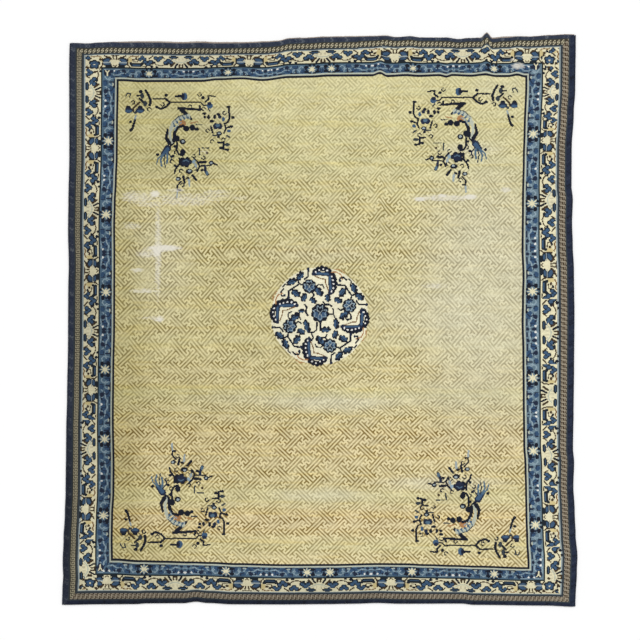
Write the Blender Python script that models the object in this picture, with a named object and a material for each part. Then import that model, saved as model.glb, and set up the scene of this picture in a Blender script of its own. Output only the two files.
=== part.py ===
# Hand-knotted Peking rug, lying face up on a floor
# Metres, +Z up; +Y runs along the warps to the end with the bare web
# The origin is on the floor, in the middle of the box around the rug
# The rug is one woven piece; a wrapped cord of dark wool binds each side

import math

import bmesh
import bpy

# Driving dimensions
WIDTH = 2.72
LENGTH = 3.05
THICKNESS = 0.009
WEB_THICKNESS = 0.0025
CORD_WIDTH = 0.008
CORD_HEIGHT = 0.0085
CORD_SIDES = 8
FIT_GAP = 0.0003
PILE_ROUND = 0.006
PILE_ROUND_DROP = 0.003

# How far each edge strays from the plain rectangle, by place along that edge
# Columns: place along the edge in metres, distance outwards in millimetres
LEFT_EDGE = (
    (-1.52, 26), (-1.44, 24), (-1.38, 20), (-1.30, 23), (-1.17, 18), (-1.04, 11),
    (-0.91, 7), (-0.60, 4), (-0.40, -1), (-0.10, -6), (0.16, -7), (0.31, -10),
    (0.48, -6), (0.64, -8), (0.89, -13), (1.35, -12), (1.52, -15),
)
RIGHT_EDGE = (
    (-1.52, 13), (-1.34, 21), (-1.27, 24), (-1.15, 14), (-1.02, 9), (-0.89, 2),
    (-0.76, 6), (-0.69, 0), (-0.50, 3), (-0.24, 6), (0.02, 8), (0.27, 5),
    (0.40, -1), (0.53, -5), (0.65, -1), (0.72, -8), (0.92, -7), (1.11, 4),
    (1.24, 12), (1.50, 15),
)
BOTTOM_EDGE = (
    (-1.36, 3), (-1.15, 0), (-0.98, -1), (-0.91, -5), (-0.72, -6), (-0.655, -14),
    (-0.59, -7), (-0.46, 0), (-0.20, 1), (0.05, -1), (0.18, -3), (0.31, -7),
    (0.44, -3), (0.76, -4), (0.83, 3), (1.21, 7), (1.36, 13),
)
TOP_EDGE = (
    (-1.36, -33), (-1.27, -35), (-1.21, -30), (-1.14, -27), (-1.01, -24), (-0.89, -24),
    (-0.76, -28), (-0.69, -25), (-0.56, -28), (-0.43, -28), (-0.31, -24), (-0.24, -20),
    (-0.18, -8), (-0.11, -5), (0.02, 2), (0.15, 4), (0.34, 6), (0.40, -1), (0.47, 3),
    (0.53, -3), (0.66, -4), (0.73, -12), (0.79, -6), (0.85, -4), (0.92, -4), (0.98, 2),
    (1.11, 2), (1.24, 10), (1.31, 14), (1.36, 13),
)

# The bare web past the pile at the +Y end
# Columns: place along the end in metres, width of the web in millimetres
WEB = (
    (-1.36, 1), (-1.15, 3), (-1.05, 8), (-0.60, 9), (-0.31, 7), (-0.18, 5), (0.10, 6),
    (0.34, 4), (0.44, 2), (0.80, 2), (0.92, 8), (1.00, 8), (1.05, 3), (1.36, 4),
)

# Low swells that the end of the rug has kept from hanging, highest at its edge
# Columns: place in metres; half width, height and reach in millimetres; pull outwards in millimetres
SWELLS = (
    (-0.66, 70, 4, 150, 0),
    (-0.16, 110, 6, 300, 0),
    (0.34, 50, 8, 260, 0),
    (0.47, 40, 5, 170, 0),
    (0.69, 80, 7, 260, 0),
    (0.885, 32, 14, 190, 25),
    (1.06, 50, 7, 220, 0),
)

# Stations of the loft
COLUMN_PITCH = 0.05
COLUMN_GAP = 0.014
SWELL_STATIONS = (-1.0, -0.5, 0.0, 0.5, 1.0)
ROWS_NEAR_END = (0.03, 0.07, 0.12, 0.18, 0.26)
ROW_PITCH = 0.08

WOOL_COLOUR = (0.50, 0.46, 0.30, 1.0)
CORD_COLOUR = (0.03, 0.04, 0.06, 1.0)


def clear_scene():
    for obj in list(bpy.data.objects):
        bpy.data.objects.remove(obj)


def curve_value(table, place):
    """Reads a table between its rows, in metres, on a smooth curve that never overshoots them."""
    if place <= table[0][0]:
        return table[0][1] / 1000
    for (low, low_value), (high, high_value) in zip(table, table[1:]):
        if place <= high:
            share = (place - low) / (high - low)
            ease = share * share * (3 - 2 * share)
            return (low_value + (high_value - low_value) * ease) / 1000
    return table[-1][1] / 1000


def bell(distance, half_width):
    """One at the middle, nothing from half_width on."""
    if abs(distance) >= half_width:
        return 0.0
    return math.cos(math.pi / 2 * distance / half_width) ** 2


def pull(x):
    """How far the end's edge is drawn out by its one sharp tuck."""
    total = 0.0
    for place, half_width, _, _, out in SWELLS:
        total += out / 1000 * bell(x - place, half_width / 1000)
    return total


def lift(x, from_end):
    """Height of the swells at x, by distance from the +Y end."""
    height = 0.0
    for place, half_width, rise, reach, _ in SWELLS:
        fade = bell(max(from_end, 0.0), reach / 1000)
        height += rise / 1000 * bell(x - place, half_width / 1000) * fade
    return height


def left_x(y):
    return -WIDTH / 2 - curve_value(LEFT_EDGE, y)


def right_x(y):
    return WIDTH / 2 + curve_value(RIGHT_EDGE, y)


def bottom_y(x):
    return -LENGTH / 2 - curve_value(BOTTOM_EDGE, x)


def top_y(x):
    return LENGTH / 2 + curve_value(TOP_EDGE, x) + pull(x)


def columns():
    """Places across the rug, from the left edge (-1) to the right one (1)."""
    half = WIDTH / 2
    steps = round(WIDTH / COLUMN_PITCH)
    places = [-half, half]
    for place, half_width, _, _, _ in sorted(SWELLS, key=lambda swell: swell[1]):
        places += [place + half_width / 1000 * k for k in SWELL_STATIONS]
    places += [-half + WIDTH * i / steps for i in range(1, steps)]
    kept = []
    for place in places:
        if all(abs(place - other) > COLUMN_GAP for other in kept):
            kept.append(place)
    return [place / half for place in sorted(kept)]


def point_on_rug(across, y):
    """x at share across (-1 to 1) of the rug between the two cords, at y."""
    inset = CORD_WIDTH + FIT_GAP
    left = left_x(y) + inset
    right = right_x(y) - inset
    return (left + right) / 2 + (right - left) / 2 * across


def rows(x):
    """Places along the rug where its sections have points, from the low edge to the foot of the web."""
    low = bottom_y(x)
    pile_end = top_y(x) - curve_value(WEB, x)
    last = pile_end - ROWS_NEAR_END[-1]
    steps = round(LENGTH / ROW_PITCH)
    places = [low, low + PILE_ROUND]
    places += [low + (last - low) * i / steps for i in range(1, steps)]
    places += [pile_end - d for d in reversed(ROWS_NEAR_END)]
    return places + [pile_end - PILE_ROUND, pile_end]


def section(across):
    """One closed outline of the rug along its warps: under it, round the web, back over the pile."""
    x = across * WIDTH / 2
    high = top_y(x)
    places = rows(x)
    underside = [(y, lift(x, high - y)) for y in places + [high]]
    tops = [(y, lift(x, high - y) + THICKNESS) for y in places]
    tops[0] = (tops[0][0], tops[0][1] - PILE_ROUND_DROP)
    tops[-1] = (tops[-1][0], tops[-1][1] - PILE_ROUND_DROP)
    web = [(y, z + WEB_THICKNESS) for y, z in underside[-2:]]
    outline = underside + web[::-1] + tops[::-1]
    return [(point_on_rug(across, y), y, z) for y, z in outline]


def cord_section(y, middle_x):
    """One ring around the wrapped cord at y, with a flat of its sides on the floor."""
    angles = [2 * math.pi * (i + 0.5) / CORD_SIDES for i in range(CORD_SIDES)]
    lowest = min(math.sin(angle) for angle in angles)
    ring = []
    for angle in angles:
        x = middle_x + CORD_WIDTH / 2 * math.cos(angle)
        ring.append((x, y, CORD_HEIGHT / 2 * (math.sin(angle) - lowest)))
    return ring


def side_faces(ring, row_count):
    """Splits a section's outline into flat faces, one between each two rows."""
    faces = []
    top = ring[::-1]
    for i in range(row_count - 1):
        faces.append([ring[i], ring[i + 1], top[i + 1], top[i]])
    foot = ring[row_count + 2]
    faces[-1].insert(2, foot)
    tip = ring[row_count]
    faces.append([ring[row_count - 1], tip, ring[row_count + 1], foot])
    return faces


def loft(name, sections, colour, row_count=None):
    """Joins rings of equal count into one closed solid; row_count splits the end faces by rows."""
    mesh = bpy.data.meshes.new(name)
    bm = bmesh.new()
    rings = [[bm.verts.new(point) for point in ring] for ring in sections]
    count = len(rings[0])
    for ring, following in zip(rings, rings[1:]):
        for i in range(count):
            j = (i + 1) % count
            bm.faces.new((ring[i], ring[j], following[j], following[i]))
    for ring in (rings[0], rings[-1]):
        for face in side_faces(ring, row_count) if row_count else [ring]:
            bm.faces.new(face)
    bmesh.ops.recalc_face_normals(bm, faces=bm.faces)
    bm.to_mesh(mesh)
    bm.free()
    obj = bpy.data.objects.new(name, mesh)
    bpy.context.scene.collection.objects.link(obj)
    obj.data.materials.append(wool_material(name, colour))
    return obj


def wool_material(name, colour):
    material = bpy.data.materials.new(name)
    material.use_nodes = True
    shader = material.node_tree.nodes["Principled BSDF"]
    shader.inputs["Base Color"].default_value = colour
    shader.inputs["Roughness"].default_value = 0.95
    shader.inputs["Metallic"].default_value = 0.0
    return material


def make_rug():
    sections = [section(across) for across in columns()]
    return loft("rug", sections, WOOL_COLOUR, row_count=len(rows(0.0)))


def make_cord(name, edge, side):
    """The wrapped side cord, from end to end of the pile on that side."""
    stations = rows(side * WIDTH / 2)
    sections = [cord_section(y, edge(y) - side * CORD_WIDTH / 2) for y in stations]
    return loft(name, sections, CORD_COLOUR)


def centre_on_floor(objects):
    """Moves the meshes so that the box around them all stands centred on the origin."""
    points = [vertex.co for obj in objects for vertex in obj.data.vertices]
    x_mid = (min(p.x for p in points) + max(p.x for p in points)) / 2
    y_mid = (min(p.y for p in points) + max(p.y for p in points)) / 2
    for obj in objects:
        for vertex in obj.data.vertices:
            vertex.co.x -= x_mid
            vertex.co.y -= y_mid


def main():
    clear_scene()
    rug = make_rug()
    left_cord = make_cord("edge_cord_left", left_x, -1)
    right_cord = make_cord("edge_cord_right", right_x, 1)
    centre_on_floor([rug, left_cord, right_cord])


main()
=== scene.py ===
import bpy
import numpy as np
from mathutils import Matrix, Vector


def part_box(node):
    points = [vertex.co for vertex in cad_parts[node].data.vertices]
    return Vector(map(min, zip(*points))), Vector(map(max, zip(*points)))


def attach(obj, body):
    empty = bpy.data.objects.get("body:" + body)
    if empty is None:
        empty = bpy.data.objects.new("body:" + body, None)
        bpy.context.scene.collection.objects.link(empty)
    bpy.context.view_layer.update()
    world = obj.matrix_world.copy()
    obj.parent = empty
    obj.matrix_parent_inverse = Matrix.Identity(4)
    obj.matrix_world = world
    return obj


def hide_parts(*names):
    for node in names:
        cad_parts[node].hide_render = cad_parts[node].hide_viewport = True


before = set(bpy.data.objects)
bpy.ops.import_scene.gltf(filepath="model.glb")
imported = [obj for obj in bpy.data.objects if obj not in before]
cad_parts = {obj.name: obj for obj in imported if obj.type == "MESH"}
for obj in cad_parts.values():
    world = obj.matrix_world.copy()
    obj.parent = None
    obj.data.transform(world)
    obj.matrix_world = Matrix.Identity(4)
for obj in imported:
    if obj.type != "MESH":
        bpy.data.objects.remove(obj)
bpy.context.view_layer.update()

# Named sizes and edge tables, the same as in the part's source
WIDTH = 2.72
LENGTH = 3.05
THICKNESS = 0.009
WEB_THICKNESS = 0.0025
CORD_WIDTH = 0.008
CORD_HEIGHT = 0.0085
FIT_GAP = 0.0003
PILE_ROUND = 0.006
PILE_ROUND_DROP = 0.003
INSET = CORD_WIDTH + FIT_GAP
# Waves that a streaky random is made of
WAVES = 9
# Height of the slow hollows of old pile
HOLLOWS = 0.0003
# Turns in which the crossings of the bent knot and row lines are found
LAY_TURNS = 5

# Columns: place along the edge in metres, distance outwards in millimetres
LEFT_EDGE = (
    (-1.52, 26), (-1.44, 24), (-1.38, 20), (-1.30, 23), (-1.17, 18), (-1.04, 11),
    (-0.91, 7), (-0.60, 4), (-0.40, -1), (-0.10, -6), (0.16, -7), (0.31, -10),
    (0.48, -6), (0.64, -8), (0.89, -13), (1.35, -12), (1.52, -15),
)
RIGHT_EDGE = (
    (-1.52, 13), (-1.34, 21), (-1.27, 24), (-1.15, 14), (-1.02, 9), (-0.89, 2),
    (-0.76, 6), (-0.69, 0), (-0.50, 3), (-0.24, 6), (0.02, 8), (0.27, 5),
    (0.40, -1), (0.53, -5), (0.65, -1), (0.72, -8), (0.92, -7), (1.11, 4),
    (1.24, 12), (1.50, 15),
)
BOTTOM_EDGE = (
    (-1.36, 3), (-1.15, 0), (-0.98, -1), (-0.91, -5), (-0.72, -6), (-0.655, -14),
    (-0.59, -7), (-0.46, 0), (-0.20, 1), (0.05, -1), (0.18, -3), (0.31, -7),
    (0.44, -3), (0.76, -4), (0.83, 3), (1.21, 7), (1.36, 13),
)
TOP_EDGE = (
    (-1.36, -33), (-1.27, -35), (-1.21, -30), (-1.14, -27), (-1.01, -24), (-0.89, -24),
    (-0.76, -28), (-0.69, -25), (-0.56, -28), (-0.43, -28), (-0.31, -24), (-0.24, -20),
    (-0.18, -8), (-0.11, -5), (0.02, 2), (0.15, 4), (0.34, 6), (0.40, -1), (0.47, 3),
    (0.53, -3), (0.66, -4), (0.73, -12), (0.79, -6), (0.85, -4), (0.92, -4), (0.98, 2),
    (1.11, 2), (1.24, 10), (1.31, 14), (1.36, 13),
)
# Columns: place along the end in metres, width of the web in millimetres
WEB = (
    (-1.36, 1), (-1.15, 3), (-1.05, 8), (-0.60, 9), (-0.31, 7), (-0.18, 5), (0.10, 6),
    (0.34, 4), (0.44, 2), (0.80, 2), (0.92, 8), (1.00, 8), (1.05, 3), (1.36, 4),
)
# Columns: place in metres; half width, height and reach in millimetres; pull outwards in millimetres
SWELLS = (
    (-0.66, 70, 4, 150, 0),
    (-0.16, 110, 6, 300, 0),
    (0.34, 50, 8, 260, 0),
    (0.47, 40, 5, 170, 0),
    (0.69, 80, 7, 260, 0),
    (0.885, 32, 14, 190, 25),
    (1.06, 50, 7, 220, 0),
)

# Where the field meets the border on each side, as the weaver let it wander
# Columns: place along the side in metres, distance to the right or up in millimetres from the plain line
FIELD_SIDE = 1.093
FIELD_END = 1.303
FIELD_LEFT = (
    (-1.31, -18), (-1.18, -20), (-1.05, -18), (-0.92, -11), (-0.79, -10), (-0.53, -14),
    (-0.28, -12), (-0.02, -7), (0.37, -6), (0.50, -7), (0.63, -4), (0.75, 2), (0.88, 7),
    (1.01, 8), (1.27, 12),
)
FIELD_RIGHT = (
    (-1.31, 21), (-1.18, 14), (-1.05, 10), (-0.92, 8), (-0.79, 5), (-0.66, -2), (-0.41, -5),
    (-0.15, -7), (-0.02, -11), (0.11, -9), (0.24, -6), (0.37, -11), (0.63, -9), (0.88, -4),
    (1.01, 0), (1.27, 9),
)
FIELD_BOTTOM = (
    (-1.10, 25), (-0.97, 16), (-0.84, 13), (-0.71, 9), (-0.58, 6), (-0.45, 0), (-0.19, -6),
    (0.06, -5), (0.32, 0), (0.45, -1), (0.58, -6), (0.71, -10), (0.84, -14), (1.10, -22),
)
FIELD_TOP = (
    (-1.06, -19), (-0.97, -24), (-0.64, -23), (-0.55, -14), (-0.42, -9), (-0.31, -18),
    (-0.16, -2), (-0.05, 0), (0.05, 6), (0.28, 7), (0.322, 20), (0.36, 3), (0.46, 8),
    (0.53, 4), (0.64, 8), (0.68, 0), (0.71, 9), (0.81, 5), (0.885, 12), (0.95, 3), (1.01, 3),
    (1.06, 11), (1.10, 1),
)
# The weaver beat some rows down harder than others
# Columns: share of the field's rows from the bottom, distance up in millimetres
ROW_DRIFT = (
    (0.0, 0), (0.05, -4), (0.10, -10), (0.14, -17), (0.22, -19), (0.30, -21), (0.35, -36),
    (0.435, -43), (0.51, -24), (0.59, -12), (0.63, -8), (0.66, 4), (0.74, 13), (0.78, 20),
    (0.86, 10), (0.91, 6), (1.0, 0),
)

# Bands of the border, from the outside in
# Columns: name; knots across a side, rows across the top and rows across the bottom
BANDS = (
    ("edge", 6, 6, 5),
    ("strip", 2, 1, 2),
    ("hooks", 8, 7, 7),
    ("slate", 3, 2, 3),
    ("flowers", 24, 17, 20),
    ("rule", 2, 2, 2),
    ("sky", 18, 12, 14),
    ("pale", 2, 2, 2),
    ("frame", 3, 3, 3),
)
BAND_NAMES = [band[0] for band in BANDS]
SIDE_KNOTS = sum(band[1] for band in BANDS)
TOP_ROWS = sum(band[2] for band in BANDS)
BOTTOM_ROWS = sum(band[3] for band in BANDS)
FIELD_COLUMNS = 585
FIELD_ROWS = 673
COLUMNS = FIELD_COLUMNS + 2 * SIDE_KNOTS
ROWS = FIELD_ROWS + TOP_ROWS + BOTTOM_ROWS

# The fret repeats every so many knots, and a cell of it is five lines wide
# One of its crosses has its middle on this knot of the field
FRET_REPEAT = 30
FRET_CELL = 5
FRET_COLUMN = 316
FRET_ROW = 339

# The charts count in squares of this size; x runs right and y down from the middle of the rug
SQUARE = 0.00537
CHART_MIDDLE = 320.0, 320.4

# Wool lots, as red, green and blue from 0 to 255
WOOLS = {
    "ink": (24, 28, 40),
    "navy": (34, 42, 62),
    "night": (30, 37, 45),
    "deep": (30, 40, 44),
    "blue": (62, 88, 116),
    "sky": (81, 106, 125),
    "light_sky": (104, 126, 139),
    "mist": (142, 162, 172),
    "steel": (52, 78, 108),
    "dusk": (50, 57, 72),
    "grey": (152, 164, 166),
    "pale": (182, 187, 170),
    "cream": (224, 217, 182),
    "ivory": (232, 227, 198),
    "faded": (86, 92, 100),
    "straw": (206, 190, 138),
    "tan": (190, 182, 154),
    "drab": (154, 144, 126),
    "sand": (166, 158, 132),
    "olive": (63, 59, 48),
    "umber": (66, 52, 36),
    "brown": (122, 92, 56),
    "rust": (168, 124, 82),
    "slate": (52, 60, 66),
    "white": (228, 228, 222),
}
WOOL_ORDER = list(WOOLS)
# Colours of the foundation under worn pile, of the yarn of the binding and of the bare web
FOUNDATION = (228, 224, 212)
YARN_DARK = (22, 24, 32)
YARN_LIGHT = (46, 54, 74)
COTTON_PALE = (188, 176, 164)
COTTON_SOILED = (128, 112, 100)

# Abrash of the field, where one dyed lot of ground wool ran out and the next began
# Columns: place along the rug in metres; warmth and depth of the fret, each from 0 to 1
ABRASH = (
    (-1.30, 0.90, 0.95), (-1.22, 0.25, 0.75), (-1.12, 1.10, 1.00), (-1.04, 1.20, 1.00),
    (-0.96, 0.25, 0.75), (-0.86, 0.60, 0.95), (-0.76, 0.95, 1.0), (-0.62, 0.95, 1.0),
    (-0.50, 0.65, 0.95), (-0.40, 0.20, 0.80), (-0.33, 0.55, 0.85), (-0.15, 0.35, 0.85),
    (0.10, 0.30, 0.85), (0.40, 0.35, 0.95), (0.60, 0.30, 0.90), (0.74, 0.15, 0.75),
    (0.90, 0.0, 0.70), (1.00, 0.0, 0.60), (1.12, 0.05, 0.62), (1.20, 0.0, 0.50),
    (1.28, -0.05, 0.38),
)
GROUND_COOL = (217, 210, 163)
GROUND_WARM = (226, 212, 167)
LINE_COOL = (137, 128, 80)
LINE_WARM = (141, 121, 74)
BLEACHED = (216, 214, 192)
# Share of red, green and blue that golden streaks and soil take from the field
GOLD_LOSS = np.array((0.0, 0.05, 0.22))
SOIL_LOSS = np.array((0.0, 0.03, 0.45))
# Seeds of the streaks of colour along the rug: of its lots, its gold and its edges
STREAK_SEED = 11
GOLD_SEED = 23
EDGE_SEED = 31
# Wools whose iron dye wears the pile down, by how much, and the unevenness of all knots
IRON_DYED = ("umber", "brown", "olive", "ink")
IRON_DEPTH = 0.0004
KNOT_ROUGHNESS = 0.00009
# Gap between the foot of the pile's sides and the back of the rug
SKIRT_GAP = 0.0004
# What the shade of the pile starts from, before its noises are added
SHADE_BASE = 0.135

# Soft large places where the wool is soiled darker, and where light has bleached it
# Columns: chart x and y of the middle, half width, half height, strength from 0 to 1
SOILED = (
    (190, 330, 140, 240, 0.09), (116, 310, 34, 170, 0.19), (128, 88, 30, 18, 0.13),
    (140, 556, 46, 24, 0.17), (126, 446, 20, 34, 0.07), (150, 400, 60, 50, 0.06),
    (120, 500, 26, 60, 0.20), (466, 400, 60, 40, 0.04), (76, 330, 24, 300, 0.25),
    (190, 590, 190, 20, 0.23), (430, 590, 140, 20, 0.13), (190, 60, 150, 16, 0.19),
    (430, 60, 140, 14, 0.10), (166, 126, 70, 56, 0.19), (170, 520, 50, 40, 0.04),
    (320, 607, 230, 9, 0.40), (150, 607, 90, 9, 0.48), (64, 510, 9, 90, 0.56),
    (106, 450, 10, 120, 0.15),
)
BLEACHES = (
    (490, 290, 70, 130, 0.50), (160, 260, 34, 60, 0.20), (320, 252, 60, 12, 0.16),
    (420, 316, 60, 30, 0.22), (440, 396, 50, 14, 0.20), (300, 398, 100, 8, 0.22),
    (500, 90, 30, 20, 0.20), (540, 270, 24, 60, 0.16), (336, 404, 60, 7, 0.40),
    (440, 483, 56, 8, 0.40), (320, 495, 50, 7, 0.35), (225, 120, 40, 12, 0.20),
    (470, 149, 30, 6, 0.4),
)
# Worn places, where the pale foundation comes through; columns as above
WORN = (
    (164, 248, 20, 3.4, 0.95), (157, 251, 5, 7, 0.95), (146, 254, 14, 5, 0.55),
    (137, 270, 9, 3, 0.6), (158, 250, 4.4, 66, 0.56), (157, 281, 5, 3, 0.5),
    (180, 218, 6, 3, 0.4), (157, 217, 5, 3, 0.45), (144, 291, 19, 3, 0.60),
    (159, 319, 7, 4, 0.7), (150, 318, 16, 3, 0.45), (155, 194, 6, 4, 0.8),
    (140, 198, 22, 8, 0.50), (192, 196, 62, 4, 0.44), (444, 198, 40, 4, 0.58),
    (132, 197, 14, 8, 0.52), (150, 204, 20, 5, 0.48), (216, 192, 18, 3, 0.50),
    (242, 198, 12, 3, 0.46), (176, 190, 14, 3, 0.50), (420, 199, 7, 2.5, 0.9),
    (442, 196, 6, 2.5, 0.8), (470, 197, 8, 3, 0.9), (506, 190, 7, 4, 0.6),
    (434, 286, 18, 5, 0.45), (518, 66, 8, 4, 0.7), (513, 60, 4, 2, 0.6),
    (132, 226, 14, 6, 0.45), (186, 201, 44, 7, 0.50), (300, 398, 90, 5, 0.25),
    (470, 316, 40, 6, 0.25), (556, 276, 6, 26, 0.3), (450, 126, 24, 4, 0.25),
    (250, 497, 60, 4, 0.25), (410, 540, 60, 4, 0.2), (204, 152, 6, 4, 0.4),
)


def chart_place(x, y):
    """Drawn metres to chart squares, y down."""
    return x / SQUARE + CHART_MIDDLE[0], CHART_MIDDLE[1] - y / SQUARE


def reaches(table, x, y):
    """How strongly each soft oval of a table reaches each drawn place, from 0 to 1."""
    chart_x, chart_y = chart_place(x, y)
    for at_x, at_y, half_x, half_y, strength in table:
        gap = np.hypot((chart_x - at_x) / half_x, (chart_y - at_y) / half_y)
        yield strength * smooth(1.5, 0.3, gap)


def blots(table, x, y):
    """How strongly the soft ovals of a table reach each drawn place together."""
    rest = 1.0
    for reach in reaches(table, x, y):
        rest = rest * (1 - reach)
    return 1 - rest


def curve(table, place):
    """Reads a table between its rows, in metres, on a smooth curve that never overshoots them."""
    stations, values = np.array(table, float).T[:2]
    place = np.clip(place, stations[0], stations[-1])
    low = np.clip(np.searchsorted(stations, place, side="right") - 1, 0, len(stations) - 2)
    share = (place - stations[low]) / (stations[low + 1] - stations[low])
    ease = share * share * (3 - 2 * share)
    return (values[low] + (values[low + 1] - values[low]) * ease) / 1000


def bell(distance, half_width):
    """One at the middle, nothing from half_width on."""
    share = np.clip(np.abs(distance) / half_width, 0, 1)
    return np.cos(np.pi / 2 * share) ** 2


def smooth(low, high, value):
    """Zero up to low, one from high, and an even rise between."""
    share = np.clip((value - low) / (high - low), 0, 1)
    return share * share * (3 - 2 * share)


def pull(x):
    return sum(out / 1000 * bell(x - at, half / 1000) for at, half, _, _, out in SWELLS)


def lift(x, from_end):
    """Height of the low swells at the end with the web."""
    height = 0.0
    for at, half, rise, reach, _ in SWELLS:
        fade = bell(np.maximum(from_end, 0), reach / 1000)
        height = height + rise / 1000 * bell(x - at, half / 1000) * fade
    return height


def left_x(y):
    return -WIDTH / 2 - curve(LEFT_EDGE, y)


def right_x(y):
    return WIDTH / 2 + curve(RIGHT_EDGE, y)


def bottom_y(x):
    return -LENGTH / 2 - curve(BOTTOM_EDGE, x)


def top_y(x):
    return LENGTH / 2 + curve(TOP_EDGE, x) + pull(x)


def drawn_middle():
    """The middle of the drawn rug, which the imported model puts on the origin."""
    cord_inset = CORD_WIDTH / 2 * (1 - np.cos(np.pi / 8))
    left = left_x(-LENGTH / 2) + cord_inset
    bottom = -LENGTH / 2 - max(out for _, out in BOTTOM_EDGE) / 1000
    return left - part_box("edge_cord_left")[0].x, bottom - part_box("rug")[0].y


MIDDLE = drawn_middle()


def station(x, y):
    """The place across the rug by which the edge tables are read."""
    left = left_x(y) + INSET
    right = right_x(y) - INSET
    return (x - (left + right) / 2) / (right - left) * WIDTH


def across(u, y):
    """x of knot line u at y."""
    left = left_x(y) + INSET
    right = right_x(y) - INSET
    field_left = -FIELD_SIDE + curve(FIELD_LEFT, y)
    field_right = FIELD_SIDE + curve(FIELD_RIGHT, y)
    in_left = left + (field_left - left) * u / SIDE_KNOTS
    in_field = field_left + (field_right - field_left) * (u - SIDE_KNOTS) / FIELD_COLUMNS
    in_right = right - (right - field_right) * (COLUMNS - u) / SIDE_KNOTS
    return np.where(u < SIDE_KNOTS, in_left, np.where(u > COLUMNS - SIDE_KNOTS, in_right, in_field))


def along(v, x, y):
    """y of row line v at x, where y is a first guess for it."""
    at = station(x, y)
    low = bottom_y(at)
    high = top_y(at) - curve(WEB, at)
    field_low = -FIELD_END + curve(FIELD_BOTTOM, x)
    field_high = FIELD_END + curve(FIELD_TOP, x)
    share = (v - BOTTOM_ROWS) / FIELD_ROWS
    in_field = field_low + (field_high - field_low) * share + curve(ROW_DRIFT, share)
    in_bottom = low + (field_low - low) * v / BOTTOM_ROWS
    in_top = high - (high - field_high) * (ROWS - v) / TOP_ROWS
    return np.where(v < BOTTOM_ROWS, in_bottom, np.where(v > ROWS - TOP_ROWS, in_top, in_field))


def lay(u, v):
    """Drawn x and y of the crossings of knot lines u and row lines v, closed in on by turns."""
    y = -LENGTH / 2 + LENGTH * v / ROWS
    for _ in range(LAY_TURNS):
        x = across(u, y)
        y = along(v, x, y)
    return x, y


def rise(x, y):
    """How far the rug stands off the floor."""
    at = station(x, y)
    return lift(at, top_y(at) - y)


def undulation(x, y):
    """Slow hollows and humps of old pile."""
    return HOLLOWS * (np.sin(7.1 * x + 2.3 * y) * np.sin(5.3 * y - 1.9 * x) - 0.4)


def in_frame(x, y, z):
    return np.stack([x - MIDDLE[0], y - MIDDLE[1], z], axis=-1)


def linear(colour):
    """From 0 to 255 on the screen to the light it stands for."""
    share = np.asarray(colour, float) / 255
    return np.where(share <= 0.04045, share / 12.92, ((share + 0.055) / 1.055) ** 2.4)


def opaque(colour):
    return (*linear(colour), 1)


def wave_noise(seed, place, longest, shortest):
    """Smooth random from about -1 to 1 along one direction."""
    rng = np.random.default_rng(seed)
    total = np.zeros_like(place, dtype=float)
    for k in range(WAVES):
        length = longest * (shortest / longest) ** (k / (WAVES - 1))
        total += np.sin(2 * np.pi * (place / length + rng.random()))
    return total / WAVES ** 0.5


class Wire:
    """A number in a node tree, so that a pattern reads as arithmetic."""

    def __init__(self, tree, socket):
        self.tree = tree
        self.socket = socket

    def math(self, kind, *others):
        node = self.tree.nodes.new("ShaderNodeMath")
        node.operation = kind
        self.tree.links.new(self.socket, node.inputs[0])
        for other, target in zip(others, node.inputs[1:]):
            if isinstance(other, Wire):
                self.tree.links.new(other.socket, target)
            else:
                target.default_value = other
        return Wire(self.tree, node.outputs[0])

    def __add__(self, other):
        return self.math("ADD", other)

    def __sub__(self, other):
        return self.math("SUBTRACT", other)

    def __mul__(self, other):
        return self.math("MULTIPLY", other)

    def __lt__(self, other):
        return self.math("LESS_THAN", other)

    def __or__(self, other):
        return self.math("MAXIMUM", other)

    def near(self, value, reach):
        return self.math("COMPARE", value, reach)

    def clamp(self, low, high):
        return self.math("MINIMUM", high).math("MAXIMUM", low)

    def floor(self):
        return self.math("FLOOR")

    def size(self):
        return self.math("ABSOLUTE")


def add_node(tree, kind, **settings):
    node = tree.nodes.new(kind)
    for name, value in settings.items():
        setattr(node, name, value)
    return node


def split_xyz(tree, vector):
    node = add_node(tree, "ShaderNodeSeparateXYZ")
    tree.links.new(vector, node.inputs[0])
    return [Wire(tree, socket) for socket in node.outputs]


def join_xyz(tree, *wires):
    node = tree.nodes.new("ShaderNodeCombineXYZ")
    for wire, target in zip(wires, node.inputs):
        tree.links.new(wire.socket, target)
    return node.outputs[0]


def blend_colour(tree, share, first, second):
    """The first colour where share is 0, the second where it is 1."""
    node = add_node(tree, "ShaderNodeMix", data_type="RGBA")
    tree.links.new(share.socket, node.inputs[0])
    for colour, target in ((first, node.inputs[6]), (second, node.inputs[7])):
        if isinstance(colour, tuple):
            target.default_value = colour
        else:
            tree.links.new(colour, target)
    return node.outputs[2]


def scale_colour(tree, colour, factor):
    node = add_node(tree, "ShaderNodeVectorMath", operation="SCALE")
    tree.links.new(colour, node.inputs[0])
    tree.links.new(factor.socket, node.inputs[3])
    return node.outputs[0]


def noise(tree, vector, scale, detail=2.0):
    node = add_node(tree, "ShaderNodeTexNoise")
    node.inputs["Scale"].default_value = scale
    node.inputs["Detail"].default_value = detail
    tree.links.new(vector, node.inputs["Vector"])
    return Wire(tree, node.outputs[0])


def stretched_noise(tree, vector, across, along, detail):
    """Noise with its own fineness across and along the rug."""
    node = add_node(tree, "ShaderNodeVectorMath", operation="MULTIPLY")
    tree.links.new(vector, node.inputs[0])
    node.inputs[1].default_value = across, along, 0
    return noise(tree, node.outputs[0], 1.0, detail)


def attribute(tree, name):
    return add_node(tree, "ShaderNodeAttribute", attribute_name=name)


def object_place(tree):
    return add_node(tree, "ShaderNodeTexCoord").outputs["Object"]


def new_material(name):
    material = bpy.data.materials.new(name)
    material.use_nodes = True
    tree = material.node_tree
    return material, tree, tree.nodes["Principled BSDF"]


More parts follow.
